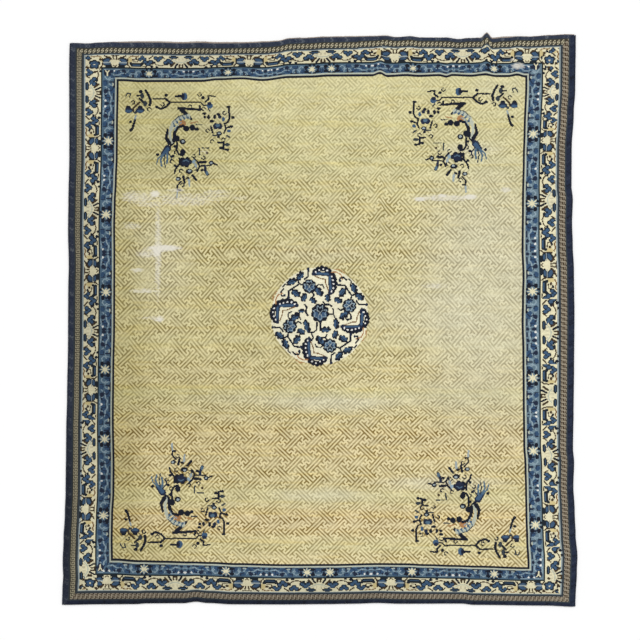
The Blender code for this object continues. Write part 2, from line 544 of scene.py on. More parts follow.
def set_surface(tree, shader, colour, height, depth, strength, roughness):
    """Links the colour and roughness, and a fine relief of the given depth."""
    tree.links.new(colour, shader.inputs["Base Color"])
    tree.links.new(roughness.socket, shader.inputs["Roughness"])
    relief = add_node(tree, "ShaderNodeBump")
    relief.inputs["Strength"].default_value = strength
    relief.inputs["Distance"].default_value = depth
    tree.links.new(height.socket, relief.inputs["Height"])
    tree.links.new(relief.outputs[0], shader.inputs["Normal"])


def set_shine(shader, specular, sheen=0.0):
    shader.inputs["Specular IOR Level"].default_value = specular
    shader.inputs["Sheen Weight"].default_value = sheen


def knot_lines(tree):
    """Place in the weave, counted in knots across and rows along."""
    uv = add_node(tree, "ShaderNodeUVMap", uv_map="knots")
    return split_xyz(tree, uv.outputs[0])[:2]


def fret_share(column, row):
    """One on the light lines of the key fret, zero on the dark ones, from whole knots."""
    x = column - (SIDE_KNOTS + FRET_COLUMN - 0.5)
    y = row - (BOTTOM_ROWS + FRET_ROW - 0.5)
    lattice = FRET_CELL / FRET_REPEAT
    p = (x - y) * lattice
    q = (x + y) * lattice
    i = (p * (1 / FRET_CELL) + 0.5).floor()
    j = (q * (1 / FRET_CELL) + 0.5).floor()
    p = p - i * FRET_CELL
    q = q - j * FRET_CELL
    turn = ((i + j) * 0.5).math("FRACT") * 4 - 1
    swap = (p * q * turn * -1) < 0
    a, b = p.size(), q.size()
    u = a + (b - a) * swap
    v = b + (a - b) * swap
    # Here u and v count lines from the middle of a cell, along its long and its short side
    arm = (u < 1.25) * (v < 0.25) | (u < 0.25) * (v < 1.25)
    rung = u.near(1, 0.25) * (v < 1.25) | u.near(1.5, 0.75) * v.near(1, 0.25)
    hook = u.near(2, 0.25) * (v < 1.25) | (u < 2.75) * v.near(2, 0.25)
    return arm | rung | hook


def knot_colour(tree, light):
    """The wool of each knot: its charted lot, or else the ground of the fret where light is 1."""
    ground = attribute(tree, "ground").outputs["Color"]
    line = attribute(tree, "line").outputs["Color"]
    chart = attribute(tree, "wool")
    field = blend_colour(tree, light, line, ground)
    return blend_colour(tree, Wire(tree, chart.outputs["Alpha"]), field, chart.outputs["Color"])


def wool_shade(tree, place, column, row, fibre):
    """How light the wool is, from its fibres and knots up to slow clouds of wear."""
    dice = add_node(tree, "ShaderNodeTexWhiteNoise", noise_dimensions="2D")
    tree.links.new(join_xyz(tree, column, row), dice.inputs[0])
    knot = Wire(tree, dice.outputs[0])
    streak = noise(tree, join_xyz(tree, column * 0.012, row * 0.4), 1.0)
    cloud = noise(tree, place, 7.0, 4.0)
    haze = stretched_noise(tree, place, 22, 60, 3.0)
    mottle = noise(tree, place, 60.0, 3.0)
    grain = noise(tree, place, 140.0, 2.0)
    shade = knot * 0.16 + streak * 0.22 + cloud * 0.30 + fibre * 0.24
    return shade + mottle * 0.30 + haze * 0.26 + grain * 0.30 + SHADE_BASE


def pile_material():
    """Knotted wool pile, with the fret of the field wherever no charted knot covers it."""
    material, tree, shader = new_material("knotted_wool")
    u, v = knot_lines(tree)
    column, row = u.floor(), v.floor()
    place = object_place(tree)
    faded = ((stretched_noise(tree, place, 9, 24, 4.0) - 0.44) * 2.6).clamp(0.0, 0.65)
    fret = fret_share(column, row)
    colour = knot_colour(tree, fret + faded * (fret * -1 + 1))
    fibre = noise(tree, place, 900.0, 1.0)
    clean = Wire(tree, attribute(tree, "clean").outputs["Fac"])
    colour = scale_colour(tree, colour, wool_shade(tree, place, column, row, fibre) * clean)

    wear = Wire(tree, attribute(tree, "wear").outputs["Fac"])
    rubbed = stretched_noise(tree, place, 45, 140, 3.0)
    bare = ((wear * 1.3 + rubbed - 0.92) * 1.5).clamp(0.0, 0.85)
    colour = blend_colour(tree, bare, colour, opaque(FOUNDATION))
    dome = ((u - column - 0.5).size() | (v - row - 0.5).size()).math("POWER", 3.0) * -4
    set_surface(tree, shader, colour, dome + fibre * 0.8, 0.0006, 0.6, fibre * 0.2 + 0.8)
    set_shine(shader, 0.12, 0.12)
    return material


def set_attribute(mesh, name, kind, domain, values):
    layer = mesh.attributes.new(name, kind, domain)
    field = "color" if kind == "FLOAT_COLOR" else "value"
    layer.data.foreach_set(field, np.ascontiguousarray(values, np.float32).ravel())


def build_mesh(name, points, faces):
    mesh = bpy.data.meshes.new(name)
    mesh.vertices.add(len(points))
    mesh.vertices.foreach_set("co", np.ascontiguousarray(points, np.float32).ravel())
    mesh.loops.add(faces.size)
    mesh.loops.foreach_set("vertex_index", np.ascontiguousarray(faces, np.int32).ravel())
    mesh.polygons.add(len(faces))
    starts = np.arange(0, faces.size, faces.shape[1], dtype=np.int32)
    mesh.polygons.foreach_set("loop_start", starts)
    mesh.update(calc_edges=True)
    mesh.shade_smooth()
    return mesh


def add_piece(name, mesh, material):
    obj = bpy.data.objects.new(name, mesh)
    bpy.context.scene.collection.objects.link(obj)
    mesh.materials.append(material)
    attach(obj, "root")
    return obj


def set_uv(mesh, name, per_vertex):
    corners = np.zeros(len(mesh.loops), np.int32)
    mesh.loops.foreach_get("vertex_index", corners)
    layer = mesh.uv_layers.new(name=name)
    layer.uv.foreach_set("vector", np.ascontiguousarray(per_vertex[corners], np.float32).ravel())


def grid_faces(rows, columns, start=0):
    """Corners of the faces of a grid of points, counter-clockwise from above."""
    i, j = np.meshgrid(np.arange(columns - 1), np.arange(rows - 1))
    low = (start + j * columns + i).ravel()
    return np.stack([low, low + 1, low + 1 + columns, low + columns], axis=1)


def ring_faces(rings, sides):
    """Faces between neighbouring rings of points, each ring closed on itself."""
    i = np.arange(rings - 1)[:, None] * sides
    j = np.arange(sides)[None, :]
    following = (j + 1) % sides
    faces = np.stack([i + j, i + following, i + sides + following, i + sides + j], axis=-1)
    return faces.reshape(-1, 4)


def set_point_colour(mesh, name, colours):
    rows = colours.reshape(-1, 3)
    set_attribute(mesh, name, "FLOAT_COLOR", "POINT", np.hstack([rows, np.ones((len(rows), 1))]))


def set_wools(mesh, charted):
    """Colours each face by the number of its wool; a face of number -1 shows the fret."""
    table = np.vstack([opaque(WOOLS[name]) for name in WOOL_ORDER] + [(0, 0, 0, 0)])
    set_attribute(mesh, "wool", "FLOAT_COLOR", "FACE", table[charted])


def field_colours(x, y):
    """Ground and line colours of the fret, by the lots of wool along the rug."""
    warmth, depth = np.array(ABRASH).T[1:]
    places = np.array(ABRASH)[:, 0]
    streaks = 0.10 * wave_noise(STREAK_SEED, y + 0.01 * np.sin(3 * x), 0.30, 0.012)
    warm = np.clip(np.interp(y, places, warmth) + streaks, -0.2, 1.2)[..., None]
    deep = np.clip(np.interp(y, places, depth) + streaks, 0, 1.2)[..., None]
    ground = linear(GROUND_COOL) * (1 - warm) + linear(GROUND_WARM) * warm
    line = linear(LINE_COOL) * (1 - warm) + linear(LINE_WARM) * warm
    line = ground + (line - ground) * deep
    gold = 0.6 * wave_noise(GOLD_SEED, y + 0.012 * np.sin(2.1 * x), 0.16, 0.008)
    gold = np.clip(gold, 0, 1)[..., None]
    soil = blots(SOILED, x, y)[..., None]
    tint = 1 - gold * GOLD_LOSS - soil * SOIL_LOSS
    ground, line = ground * tint, line * tint
    bleach = blots(BLEACHES, x, y)[..., None]
    ground = ground + (linear(BLEACHED) - ground) * bleach
    line = line + (linear(BLEACHED) - line) * bleach * 0.7
    return ground, line


def pile_drop(v):
    """Share by which the pile is rounded off towards the ends of the rug."""
    return 1 - smooth(0, PILE_ROUND, np.minimum(v, ROWS - v) * LENGTH / ROWS)


def tied_unevenly(name, wools, count_v, count_u):
    """How far each crossing of a patch stands off: knots are uneven, and iron-dyed wool wears down."""
    rng = np.random.default_rng(len(name) * 7 + count_v)
    rough = rng.normal(0, KNOT_ROUGHNESS, (count_v, count_u))
    low = np.isin(wools, [WOOL_ORDER.index(wool) for wool in IRON_DYED])
    worn_down = np.zeros(rough.shape)
    for shift_v in (0, 1):
        for shift_u in (0, 1):
            worn_down[shift_v:count_v - 1 + shift_v, shift_u:count_u - 1 + shift_u] += low / 4
    rough -= IRON_DEPTH * worn_down
    rough[[0, -1]] = 0
    rough[:, [0, -1]] = 0
    return rough


def rim_of(side, count_v, count_u):
    """Points and knots along one side of a sheet, in the order that turns its skirt outwards."""
    index = np.arange(count_u * count_v).reshape(count_v, count_u)
    knots = np.arange((count_u - 1) * (count_v - 1)).reshape(count_v - 1, count_u - 1)
    cut = {"low": np.s_[0, ::-1], "high": np.s_[-1], "left": np.s_[:, 0], "right": np.s_[::-1, -1]}[side]
    return index[cut], knots[cut]


def knot_sheet(name, columns, rows, wools=None, skirts="", dropped=None):
    """A stretch of pile between two knot lines and two row lines; wools gives the lot of each knot."""
    u, v = np.meshgrid(np.asarray(columns, float), np.asarray(rows, float))
    count_v, count_u = u.shape
    x, y = lay(u, v)
    z = THICKNESS + rise(x, y) + undulation(x, y) - PILE_ROUND_DROP * pile_drop(v)
    if wools is not None:
        z = z + tied_unevenly(name, wools, count_v, count_u)
    faces = grid_faces(count_v, count_u)
    if dropped is not None:
        faces = faces[~dropped.ravel()]
    points = in_frame(x, y, z).reshape(-1, 3)
    ground, line = field_colours(x, y)
    data = {
        "knots": np.stack([u, v], axis=-1).reshape(-1, 2),
        "ground": ground.reshape(-1, 3),
        "line": line.reshape(-1, 3),
        "wear": np.maximum.reduce(list(reaches(WORN, x, y))).ravel(),
        "clean": 1 - blots(SOILED, x, y).ravel(),
    }
    knot_of = np.arange(len(faces))
    for side in skirts.split():
        rim, next_knots = rim_of(side, count_v, count_u)
        feet = len(points) + np.arange(len(rim))
        foot = points[rim].copy()
        foot[:, 2] = rise(x, y).ravel()[rim] + SKIRT_GAP
        points = np.vstack([points, foot])
        data = {key: np.concatenate([values, values[rim]]) for key, values in data.items()}
        faces = np.vstack([faces, np.stack([rim[:-1], rim[1:], feet[1:], feet[:-1]], axis=1)])
        knot_of = np.concatenate([knot_of, next_knots])
    mesh = build_mesh(name, points, faces)
    set_uv(mesh, "knots", data["knots"])
    for key in ("ground", "line"):
        set_point_colour(mesh, key, data[key])
    for key in ("wear", "clean"):
        set_attribute(mesh, key, "FLOAT", "POINT", data[key])
    set_wools(mesh, np.full(len(faces), -1) if wools is None else wools.ravel()[knot_of])
    return mesh


def knot_middles(columns, rows):
    """Chart place of the middle of each knot, and its knot and row count."""
    u, v = np.meshgrid(np.asarray(columns[:-1], float) + 0.5, np.asarray(rows[:-1], float) + 0.5)
    x, y = lay(u, v)
    return u, v, *chart_place(x, y)


class Chart:
    """Knots of one patch: the place of each in chart squares, and the wool that it is tied in."""

    def __init__(self, x, y, wool=None, weight=1.0, knots=None):
        self.x = x
        self.y = y
        self.weight = weight
        self.knots = knots
        self.wool = np.full(x.shape, -1) if wool is None else wool

    def seen(self, x, y, quarter_turns=0, flip_x=False, flip_y=False):
        """The same knots, counted from x, y and turned or flipped."""
        dx, dy = self.x - x, self.y - y
        for _ in range(quarter_turns):
            dx, dy = dy, -dx
        return Chart(-dx if flip_x else dx, -dy if flip_y else dy, self.wool, self.weight)

    def fill(self, wool):
        self.wool[:] = WOOL_ORDER.index(wool)

    def tie(self, inside, wool):
        self.wool[inside] = WOOL_ORDER.index(wool)

    def oval(self, x, y, half_x, half_y, wool, turn=0.0):
        a = np.radians(turn)
        swell = (self.weight - 1) * 0.7
        half_x, half_y = half_x + swell, half_y + swell
        dx, dy = self.x - x, self.y - y
        p = dx * np.cos(a) + dy * np.sin(a)
        q = dy * np.cos(a) - dx * np.sin(a)
        self.tie((p / half_x) ** 2 + (q / half_y) ** 2 < 1, wool)

    def ovals(self, wool, *places):
        for place in places:
            self.oval(*place, wool)

    def lines(self, width, wool, *runs):
        for points in runs:
            self.line(points, width, wool)

    def line(self, points, width, wool, end_width=None):
        """A stroke through the points that may taper to end_width."""
        end_width = width if end_width is None else end_width
        width, end_width = width * self.weight, end_width * self.weight
        steps = len(points) - 1
        for k, ((x0, y0), (x1, y1)) in enumerate(zip(points, points[1:])):
            dx, dy = x1 - x0, y1 - y0
            share = ((self.x - x0) * dx + (self.y - y0) * dy) / max(dx * dx + dy * dy, 1e-9)
            share = np.clip(share, 0, 1)
            gap = np.hypot(self.x - x0 - share * dx, self.y - y0 - share * dy)
            at = (k + share) / steps
            self.tie(gap < (width + (end_width - width) * at) / 2, wool)


def field_mesh():
    """The plain fret field on a coarse grid, left open where the charted patches lie."""
    left, right = SIDE_KNOTS, COLUMNS - SIDE_KNOTS
    low, high = BOTTOM_ROWS, ROWS - TOP_ROWS
    boxes = list(PATCHES.values())
    cuts_u = sorted({left, right, *(b[k] for b in boxes for k in (0, 1))})
    cuts_v = sorted({low, high, *(b[k] for b in boxes for k in (2, 3))})
    columns, rows = (fill_between(*pair) for pair in zip((cuts_u, cuts_v), FIELD_PITCH))
    u, v = np.meshgrid((columns[:-1] + columns[1:]) / 2, (rows[:-1] + rows[1:]) / 2)
    dropped = np.zeros(u.shape, bool)
    for u0, u1, v0, v1 in boxes:
        dropped |= (u > u0) & (u < u1) & (v > v0) & (v < v1)
    return knot_sheet("field_pile", columns, rows, dropped=dropped)


def fill_between(cuts, pitch):
    """Lines at the cuts, and evenly between them at about the pitch."""
    lines = [cuts[0]]
    for low, high in zip(cuts, cuts[1:]):
        steps = max(1, round((high - low) / pitch))
        lines += list(low + (high - low) * np.arange(1, steps + 1) / steps)
    return np.array(lines, float)


# Sides of the border, in the order of their numbers
SIDES = ("left", "right", "top", "bottom")
# Corners of the field in chart squares, and whether the spray is flipped there
# Columns: name; x and y of the corner; flipped left to right, flipped top to bottom
CORNERS = {
    "corner_top_left": (117, 80, False, False),
    "corner_top_right": (526, 75, True, False),
    "corner_low_left": (112, 561, False, True),
    "corner_low_right": (528.5, 568, True, True),
}
# Knots and rows between the mesh lines of the plain field
FIELD_PITCH = (4, 3)
# How far a corner's patch begins and ends from the edges of the field, in knots
PATCH_NEAR, PATCH_FAR = 10, 174
# The medallion's middle knot, and how far its patch reaches
MEDALLION_COLUMN = SIDE_KNOTS + 294
MEDALLION_ROW = BOTTOM_ROWS + 348
MEDALLION_REACH = 76


def corner_patch(to_right, low):
    """Lines round the patch in one corner of the field: left, right, low, high."""
    right, top = COLUMNS - SIDE_KNOTS, ROWS - TOP_ROWS
    columns = (SIDE_KNOTS + PATCH_NEAR, SIDE_KNOTS + PATCH_FAR)
    rows = (top - PATCH_FAR, top - PATCH_NEAR)
    if to_right:
        columns = (right - PATCH_FAR, right - PATCH_NEAR)
    if low:
        rows = (BOTTOM_ROWS + PATCH_NEAR, BOTTOM_ROWS + PATCH_FAR)
    return columns + rows


# Charted patches of the field, in knot and row lines of the whole rug: left, right, low, high
PATCHES = {
    "medallion": (
        MEDALLION_COLUMN - MEDALLION_REACH, MEDALLION_COLUMN + MEDALLION_REACH,
        MEDALLION_ROW - MEDALLION_REACH, MEDALLION_ROW + MEDALLION_REACH,
    ),
    **{name: corner_patch(*flips) for name, (_, _, *flips) in CORNERS.items()},
}

# Rows by which the outer bands of the top sink inwards, the knots over which they begin to
# and the rows from the end over which the shift fades out
TOP_SHIFT = 2
TOP_SHIFT_KNOTS = (380, 480)
TOP_SHIFT_ROWS = (32, 18)


def band_lines():
    """Lines between the bands, counted inwards from a side, from the top and from the bottom."""
    return [np.cumsum([0] + [band[k] for band in BANDS]) for k in (1, 2, 3)]


def band_places(u, v):
    """Which side, band and share across that band each knot of the border lies in."""
    steps = np.arange(len(BANDS) + 1)
    side_lines, top_lines, bottom_lines = band_lines()
    from_side = np.interp(np.minimum(u, COLUMNS - u), side_lines, steps)
    shift = TOP_SHIFT * smooth(*TOP_SHIFT_KNOTS, u) * smooth(*TOP_SHIFT_ROWS, ROWS - v)
    from_top = np.interp(ROWS - v + shift, top_lines, steps)
    from_bottom = np.interp(v, bottom_lines, steps)
    from_end = np.minimum(from_top, from_bottom)
    depth = np.minimum(from_side, from_end)
    end = np.where(from_top < from_bottom, 2, 3)
    side = np.where(from_side <= from_end, np.where(u < COLUMNS / 2, 0, 1), end)
    band = np.minimum(depth.astype(int), len(BANDS) - 1)
    return side, band, depth - band


# Main wool of each band
BAND_WOOLS = {
    "edge": "navy", "strip": "slate", "hooks": "olive", "slate": "slate", "flowers": "cream",
    "rule": "deep", "sky": "sky", "pale": "pale", "frame": "ink",
}


def border_wools(columns, rows):
    """The wool of each knot in a strip of the border."""
    u, v, chart_x, chart_y = knot_middles(columns, rows)
    side, band, share = band_places(u, v)
    wool = np.zeros(u.shape, int)
    for k, name in enumerate(BAND_NAMES):
        wool[band == k] = WOOL_ORDER.index(BAND_WOOLS[name])
    for number, name in enumerate(SIDES):
        on_side = name in ("left", "right")
        run, knots = (chart_y, v) if on_side else (chart_x, u)
        for kind, draw in BAND_DRAWINGS.items():
            inside = (side == number) & (band == BAND_NAMES.index(kind))
            if inside.any():
                patch = Chart(run[inside], share[inside], wool[inside], knots=knots[inside])
                draw(patch, name)
                wool[inside] = patch.wool
    draw_corner_marks(Chart(chart_x, chart_y, wool))
    return wool


# Corners of the border in chart squares: middle of the corner's flower, middle of its small cream mark
# Columns: x and y of the flower, x and y of the mark, direction towards the rug's middle in x and y
CORNER_MARKS = (
    (94.5, 64.5, 107.3, 73.0, 1, 1), (549.5, 60.0, 536.0, 66.6, -1, 1),
    (90.0, 583.0, 100.2, 567.6, 1, -1), (549.5, 586.0, 538.6, 574.2, -1, -1),
)


def draw_corner_marks(c):
    """A blue flower where two main bands meet, and a small forked mark where two blue bands meet."""
    for x, y, mark_x, mark_y, way_x, way_y in CORNER_MARKS:
        c.oval(x, y, 7.4, 6.6, "cream")
        for lobe_x, lobe_y in ((-3.2, -1.6), (0, -2.8), (3.4, -1.2), (2.2, 2.4), (-2.4, 2.2)):
            c.oval(x + lobe_x, y + lobe_y, 2.5, 2.2, "night")
            c.oval(x + lobe_x * 0.7, y + lobe_y * 0.7, 1.7, 1.5, "blue")
        for shift_x, shift_y in ((-6.6, 3.4), (5.8, -5.0), (0.6, 7.4)):
            c.oval(x + shift_x * way_x, y + shift_y * way_y, 1.5, 1.3, "umber")
        c.line(((x - 6 * way_x, y - 4 * way_y), (x - 3 * way_x, y - 6.4 * way_y)), 1.3, "umber")
        c.line(((x + 5 * way_x, y + 4.6 * way_y), (x + 7.4 * way_x, y + 1.4 * way_y)), 1.3, "umber")
        c.oval(mark_x, mark_y, 3.6, 3.4, "navy")
        for tip_x, tip_y in ((-1.8, -2.6), (1.8, -2.6), (0, 2.8)):
            c.line(((mark_x, mark_y), (mark_x + tip_x, mark_y + tip_y * way_y)), 1.1, "cream")


# Wool of the plain dark band on each side: its main lot, a deeper one and a faded one
EDGE_WOOLS = {
    "left": ("dusk", "navy", "faded"), "right": ("navy", "ink", "dusk"),
    "top": ("dusk", "navy", "faded"), "bottom": ("navy", "ink", "dusk"),
}


def draw_edge(chart, side):
    """The plain band, streaked where its dye took deeper or has faded."""
    main, deep, faded = EDGE_WOOLS[side]
    seed = EDGE_SEED + SIDES.index(side)
    streak = wave_noise(seed, chart.x + np.sin(chart.y * 7), 22, 1.2)
    chart.fill(main)
    chart.tie(streak < -0.75, deep)
    chart.tie(streak > 0.95, faded)


# Small key hooks of the narrow band, from its outer to its inner side; a light knot is #
HOOKS = {
    "left": (".....", "####.", "#....", "#.##.", "#..#.", "####.", "....."),
    "right": ("..####", "#....#", "#.####", "#....#", "####.#", "#....#", "####.."),
    "top": ("......", "...##.", "..#...", ".##.#.", ".#.##.", "...#..", ".##..."),
    "bottom": ("..####", "#....#", "#.####", "#....#", "####.#", "#....#", "####.."),
}
# Light and dark wool of the hooks on each side
HOOK_WOOLS = {
    "left": ("sand", "olive"), "right": ("drab", "umber"),
    "top": ("tan", "olive"), "bottom": ("drab", "umber"),
}


def draw_hooks(chart, side):
    """The narrow band, which repeats its chart along the side."""
    table = np.array([[letter == "#" for letter in row] for row in HOOKS[side]])
    across_band = np.minimum((chart.y * len(table)).astype(int), len(table) - 1)
    is_light = table[across_band, chart.knots.astype(int) % table.shape[1]]
    light, dark = HOOK_WOOLS[side]
    chart.tie(is_light, light)
    chart.tie(~is_light, dark)


# Middles of the flowers along the main band of each side, in chart squares
# The 1st, 3rd and so on are cross flowers with the bars beside them, the others fans
FLOWERS = {
    "left": (33, 93, 148, 209, 271, 331, 390, 449, 509, 569, 629),
    "right": (40, 92, 140, 200, 265, 333, 396, 455, 517, 577, 640),
    "top": (-20, 50, 115, 181, 249, 323, 395, 463, 527, 590, 660),
    "bottom": (-25, 40, 107, 175, 247, 319, 391, 463, 531, 595, 660),
}
# The weaver turned these over, and tied one more fan in the place of a cross flower
TURNED = {"left": (449, 509), "right": (333, 455, 577)}
EXTRA_FANS = {"right": (396,)}
# Middles of the small stars along the blue band of each side, in chart squares
STARS = {
    "left": (141, 214.5, 292, 369.5, 439, 515.5),
    "right": (134, 203.5, 291.5, 378, 451, 525),
    "top": (149, 228, 312, 331.5, 413, 494),
    "bottom": (144, 226, 307, 330, 412, 494),
}
STAR_REPEAT = 75
# Size of the drawings of the bands, in their own squares
HALF_REPEAT = 60
BAND_HEIGHT = 16
SKY_HEIGHT = 10


def draw_cross(c):
    """Flower with four blue petals; x runs from its middle, y from the outer side of the band."""
    c.line(((3.4, 15.2), (8.4, 15.2)), 1.8, "night")
    c.oval(7.2, 12.5, 4.2, 2.0, "night", -6)
    c.oval(7.4, 12.3, 2.8, 1.0, "blue", -6)
    c.oval(7.8, 7.2, 4.4, 3.0, "night", 24)
    c.oval(7.6, 7.5, 3.1, 1.7, "blue", 24)
    c.line(((0, 10.3), (10.6, 10.3)), 1.2, "grey")
    c.oval(0, 9.8, 3.6, 3.8, "cream")
    c.line(((1.0, 6.6), (1.7, 3.4)), 1.3, "umber")
    c.line(((3.0, 6.4), (5.4, 3.2)), 1.5, "umber")
    c.line(((5.4, 4.6), (9.6, 1.8)), 1.6, "umber")
    c.line(((0, 2.0), (3.4, 1.7)), 1.1, "umber")
    c.line(((0, 15.4), (1.4, 14.0)), 1.0, "umber")


def draw_fan(c):
    """Flower with a fan of brown strokes over wide pale petals."""
    c.line(((1.2, 12.2), (1.6, 15.4)), 1.5, "umber")
    c.line(((3.2, 11.0), (5.4, 15.2)), 1.9, "ink")
    c.line(((5.8, 9.8), (8.8, 14.0)), 2.0, "umber")
    c.line(((0, 15.2), (1.6, 15.2)), 1.2, "umber")
    c.line(((0, 9.4), (3.6, 8.6), (6.6, 6.2)), 1.0, "pale")
    c.lines(0.9, "tan", ((1.8, 6.6), (1.8, 4.4)), ((4.4, 6.0), (5.2, 4.8)))
    c.oval(6.8, 2.9, 4.4, 1.9, "night")
    c.line(((4.6, 3.0), (9.0, 3.0)), 1.1, "blue")


def draw_bloom(c, x, y, half_x, half_y, way=1):
    """A blue flower head of three petals, dark at the rim and open on one side."""
    petals = ((-0.58, 0.22), (0.0, -0.42), (0.6, 0.18))
    for wool, size in (("night", 0.68), ("blue", 0.42)):
        for at_x, at_y in petals:
            c.oval(x + at_x * half_x, y + at_y * half_y * way, half_x * size, half_y * size, wool)
    c.oval(x, y + 0.86 * half_y * way, half_x * 0.26, half_y * 0.36, "cream")


def draw_bars(c):
    """What lies on each side of a flower with bars."""
    c.oval(13.4, 7.0, 2.0, 3.6, "straw")
    c.line(((11.4, 5.0), (11.2, 9.4), (11.8, 13.4), (13.4, 15.2)), 1.3, "umber")
    c.line(((15.8, 12.7), (23.0, 12.7)), 4.4, "night")
    c.line(((16.2, 13.1), (22.6, 13.1)), 1.3, "blue")
    c.ovals("night", (14.4, 10.8, 1.5, 1.5), (24.6, 10.8, 1.6, 1.6))
    c.line(((16.6, 9.2), (20.4, 9.0), (21.2, 6.8), (19.4, 5.6)), 1.1, "umber")
    c.oval(16.6, 6.8, 1.5, 1.2, "umber")
    c.oval(19.2, 5.2, 1.5, 1.1, "ink")
    c.line(((13.0, 3.2), (16.2, 1.8), (19.4, 3.0), (21.6, 1.9)), 1.2, "brown")
    draw_bloom(c, 24.8, 5.0, 3.2, 3.4)
    draw_bloom(c, 29.8, 9.9, 4.0, 4.2, -1)
    c.line(((25.6, 14.8), (28.6, 15.0)), 1.2, "umber")


def draw_tulips(c):
    """What lies on each side of a flower with tulips."""
    c.line(((14.4, 12.4), (18.2, 13.8), (22.2, 12.6)), 1.2, "umber")
    c.oval(22.0, 15.2, 1.4, 0.9, "ink")
    c.line(((22.2, 12.6), (24.2, 10.8), (26.2, 11.6)), 1.2, "umber")
    c.ovals("ink", (26.8, 14.4, 1.6, 1.5), (24.6, 9.2, 1.4, 1.2))
    draw_bloom(c, 20.8, 5.0, 3.4, 3.8, -1)
    c.line(((30.4, 6.2), (25.4, 1.8)), 1.4, "umber")
    c.line(((17.2, 1.8), (15.0, 5.2)), 1.2, "umber")
    draw_bloom(c, 11.4, 9.0, 4.0, 3.9)
    c.ovals("night", (12.8, 12.0, 1.5, 1.5), (9.4, 11.8, 1.3, 1.3))
    c.line(((11.4, 7.0), (7.6, 5.4)), 2.4, "blue", 1.0)


def draw_within(mask, x, y, wool, draw):
    if mask.any():
        part = Chart(x[mask], y[mask], wool[mask])
        draw(part)
        wool[mask] = part.wool


def draw_flowers(chart, side):
    """The main band: flowers in a row, and what lies between them, each mirrored about its middle."""
    places = np.array(FLOWERS[side], float)
    fans = (np.arange(len(places)) % 2 == 1) | np.isin(places, EXTRA_FANS.get(side, ()))
    turned = np.isin(places, TURNED.get(side, ()))
    low = np.clip(np.searchsorted(places, chart.x) - 1, 0, len(places) - 2)
    share = (chart.x - places[low]) / (places[low + 1] - places[low])
    near = np.where(share > 0.5, low + 1, low)
    to_near = np.where(share > 0.5, 1 - share, share) * HALF_REPEAT
    to_bars = np.where(low % 2 == 0, share, 1 - share) * HALF_REPEAT
    height = chart.y * BAND_HEIGHT
    chart.tie(height < 1.1, "grey")
    height = np.where(turned[near], BAND_HEIGHT - height, height)
    everywhere = np.ones(near.shape, bool)
    draw_within(everywhere, HALF_REPEAT - to_bars, height, chart.wool, draw_tulips)
    draw_within(everywhere, to_bars, height, chart.wool, draw_bars)
    draw_within(fans[near], to_near, height, chart.wool, draw_fan)
    draw_within(~fans[near], to_near, height, chart.wool, draw_cross)


def draw_sky(chart, side):
    """The blue band: small stars, with cloud curls, fret ends and pairs of white dots between them."""
    stars = np.array(STARS[side], float)
    gap = np.abs(chart.x[:, None] - stars[None, :]).min(axis=1)
    gap = np.where(gap > STAR_REPEAT / 2, np.abs(STAR_REPEAT - gap), gap)
    c = Chart(gap, chart.y * SKY_HEIGHT, chart.wool)
    if side == "right":
        c.fill("light_sky")
    draw_clouds(c)
    draw_star(c, SKY_HEIGHT / 2, 0.8 if side == "top" else 1.0)


def draw_star(c, middle, size):
    """A small cream star of eight unequal points."""
    for tip_x, tip_y in ((3.2, 3.0), (3.9, 0.2), (3.3, -3.0), (0, 3.6), (0, -3.7)):
        c.line(((0, middle), (tip_x * size, middle + tip_y * size)), 1.6 * size, "cream", 0.8)
    c.oval(0, middle, 1.7 * size, 1.5 * size, "cream")


def draw_clouds(c):
    """Cloud curls and fret ends of half a repeat of the blue band."""
    c.ovals(
        "steel", (9.4, 7.4, 2.6, 2.2), (23.4, 7.2, 4.2, 2.4), (31, 4.4, 3.4, 2.4), (17, 2.4, 3, 1.8),
    )
    c.lines(
        0.9, "mist",
        ((7.5, 3.2), (11, 2.0), (13.4, 4.2), (11.4, 6.2)),
        ((19.5, 7.6), (18.2, 5.2), (13.6, 5.4), (12.4, 7.8)),
        ((20.4, 2.2), (23, 5.2), (28.4, 5.6), (31, 7.4), (36, 6.6)),
        ((27.4, 3.6), (29.6, 1.4), (33.6, 1.2)),
    )
    c.lines(
        0.8, "navy",
        ((8.6, 4.6), (8.6, 8.8), (11.4, 9.0)), ((14.6, 1.0), (14.6, 3.4), (17.6, 3.6)),
        ((21.8, 4.2), (24.6, 4.4), (24.8, 7.0), (22.4, 8.4)),
        ((31.4, 3.2), (31.6, 5.8), (34.8, 6.0)),
    )
    c.line(((16.6, 8.2), (20.2, 8.4)), 0.7, "pale")
    c.line(((26.4, 0.9), (30.4, 0.8)), 0.7, "mist")
    c.line(((13.2, 9.5), (18.8, 9.5)), 1.0, "navy")
    c.line(((16, 9.4), (16, 5.8)), 2.2, "navy", 1.4)
    c.line(((27.6, 8.8), (33.6, 9.0)), 1.4, "navy")
    c.ovals("navy", (37.5, 8.4, 1.8, 1.2), (25.2, 2.6, 2.3, 1.7), (29.6, 2.4, 1.2, 0.9))
    c.oval(34.6, 2.4, 1.0, 0.9, "white")
    c.oval(37.5, 3.4, 1.6, 2.0, "navy")
    c.ovals("ink", (20.6, 9.2, 1.4, 0.8), (5.6, 7.8, 2.5, 1.7), (5.8, 2.6, 2.4, 1.6))
    c.oval(6.2, 5.2, 1.3, 1.0, "navy")
    c.ovals("ink", (2.2, 9.3, 1.6, 0.9), (2.2, 0.8, 1.5, 0.8))


BAND_DRAWINGS = {"edge": draw_edge, "hooks": draw_hooks, "flowers": draw_flowers, "sky": draw_sky}


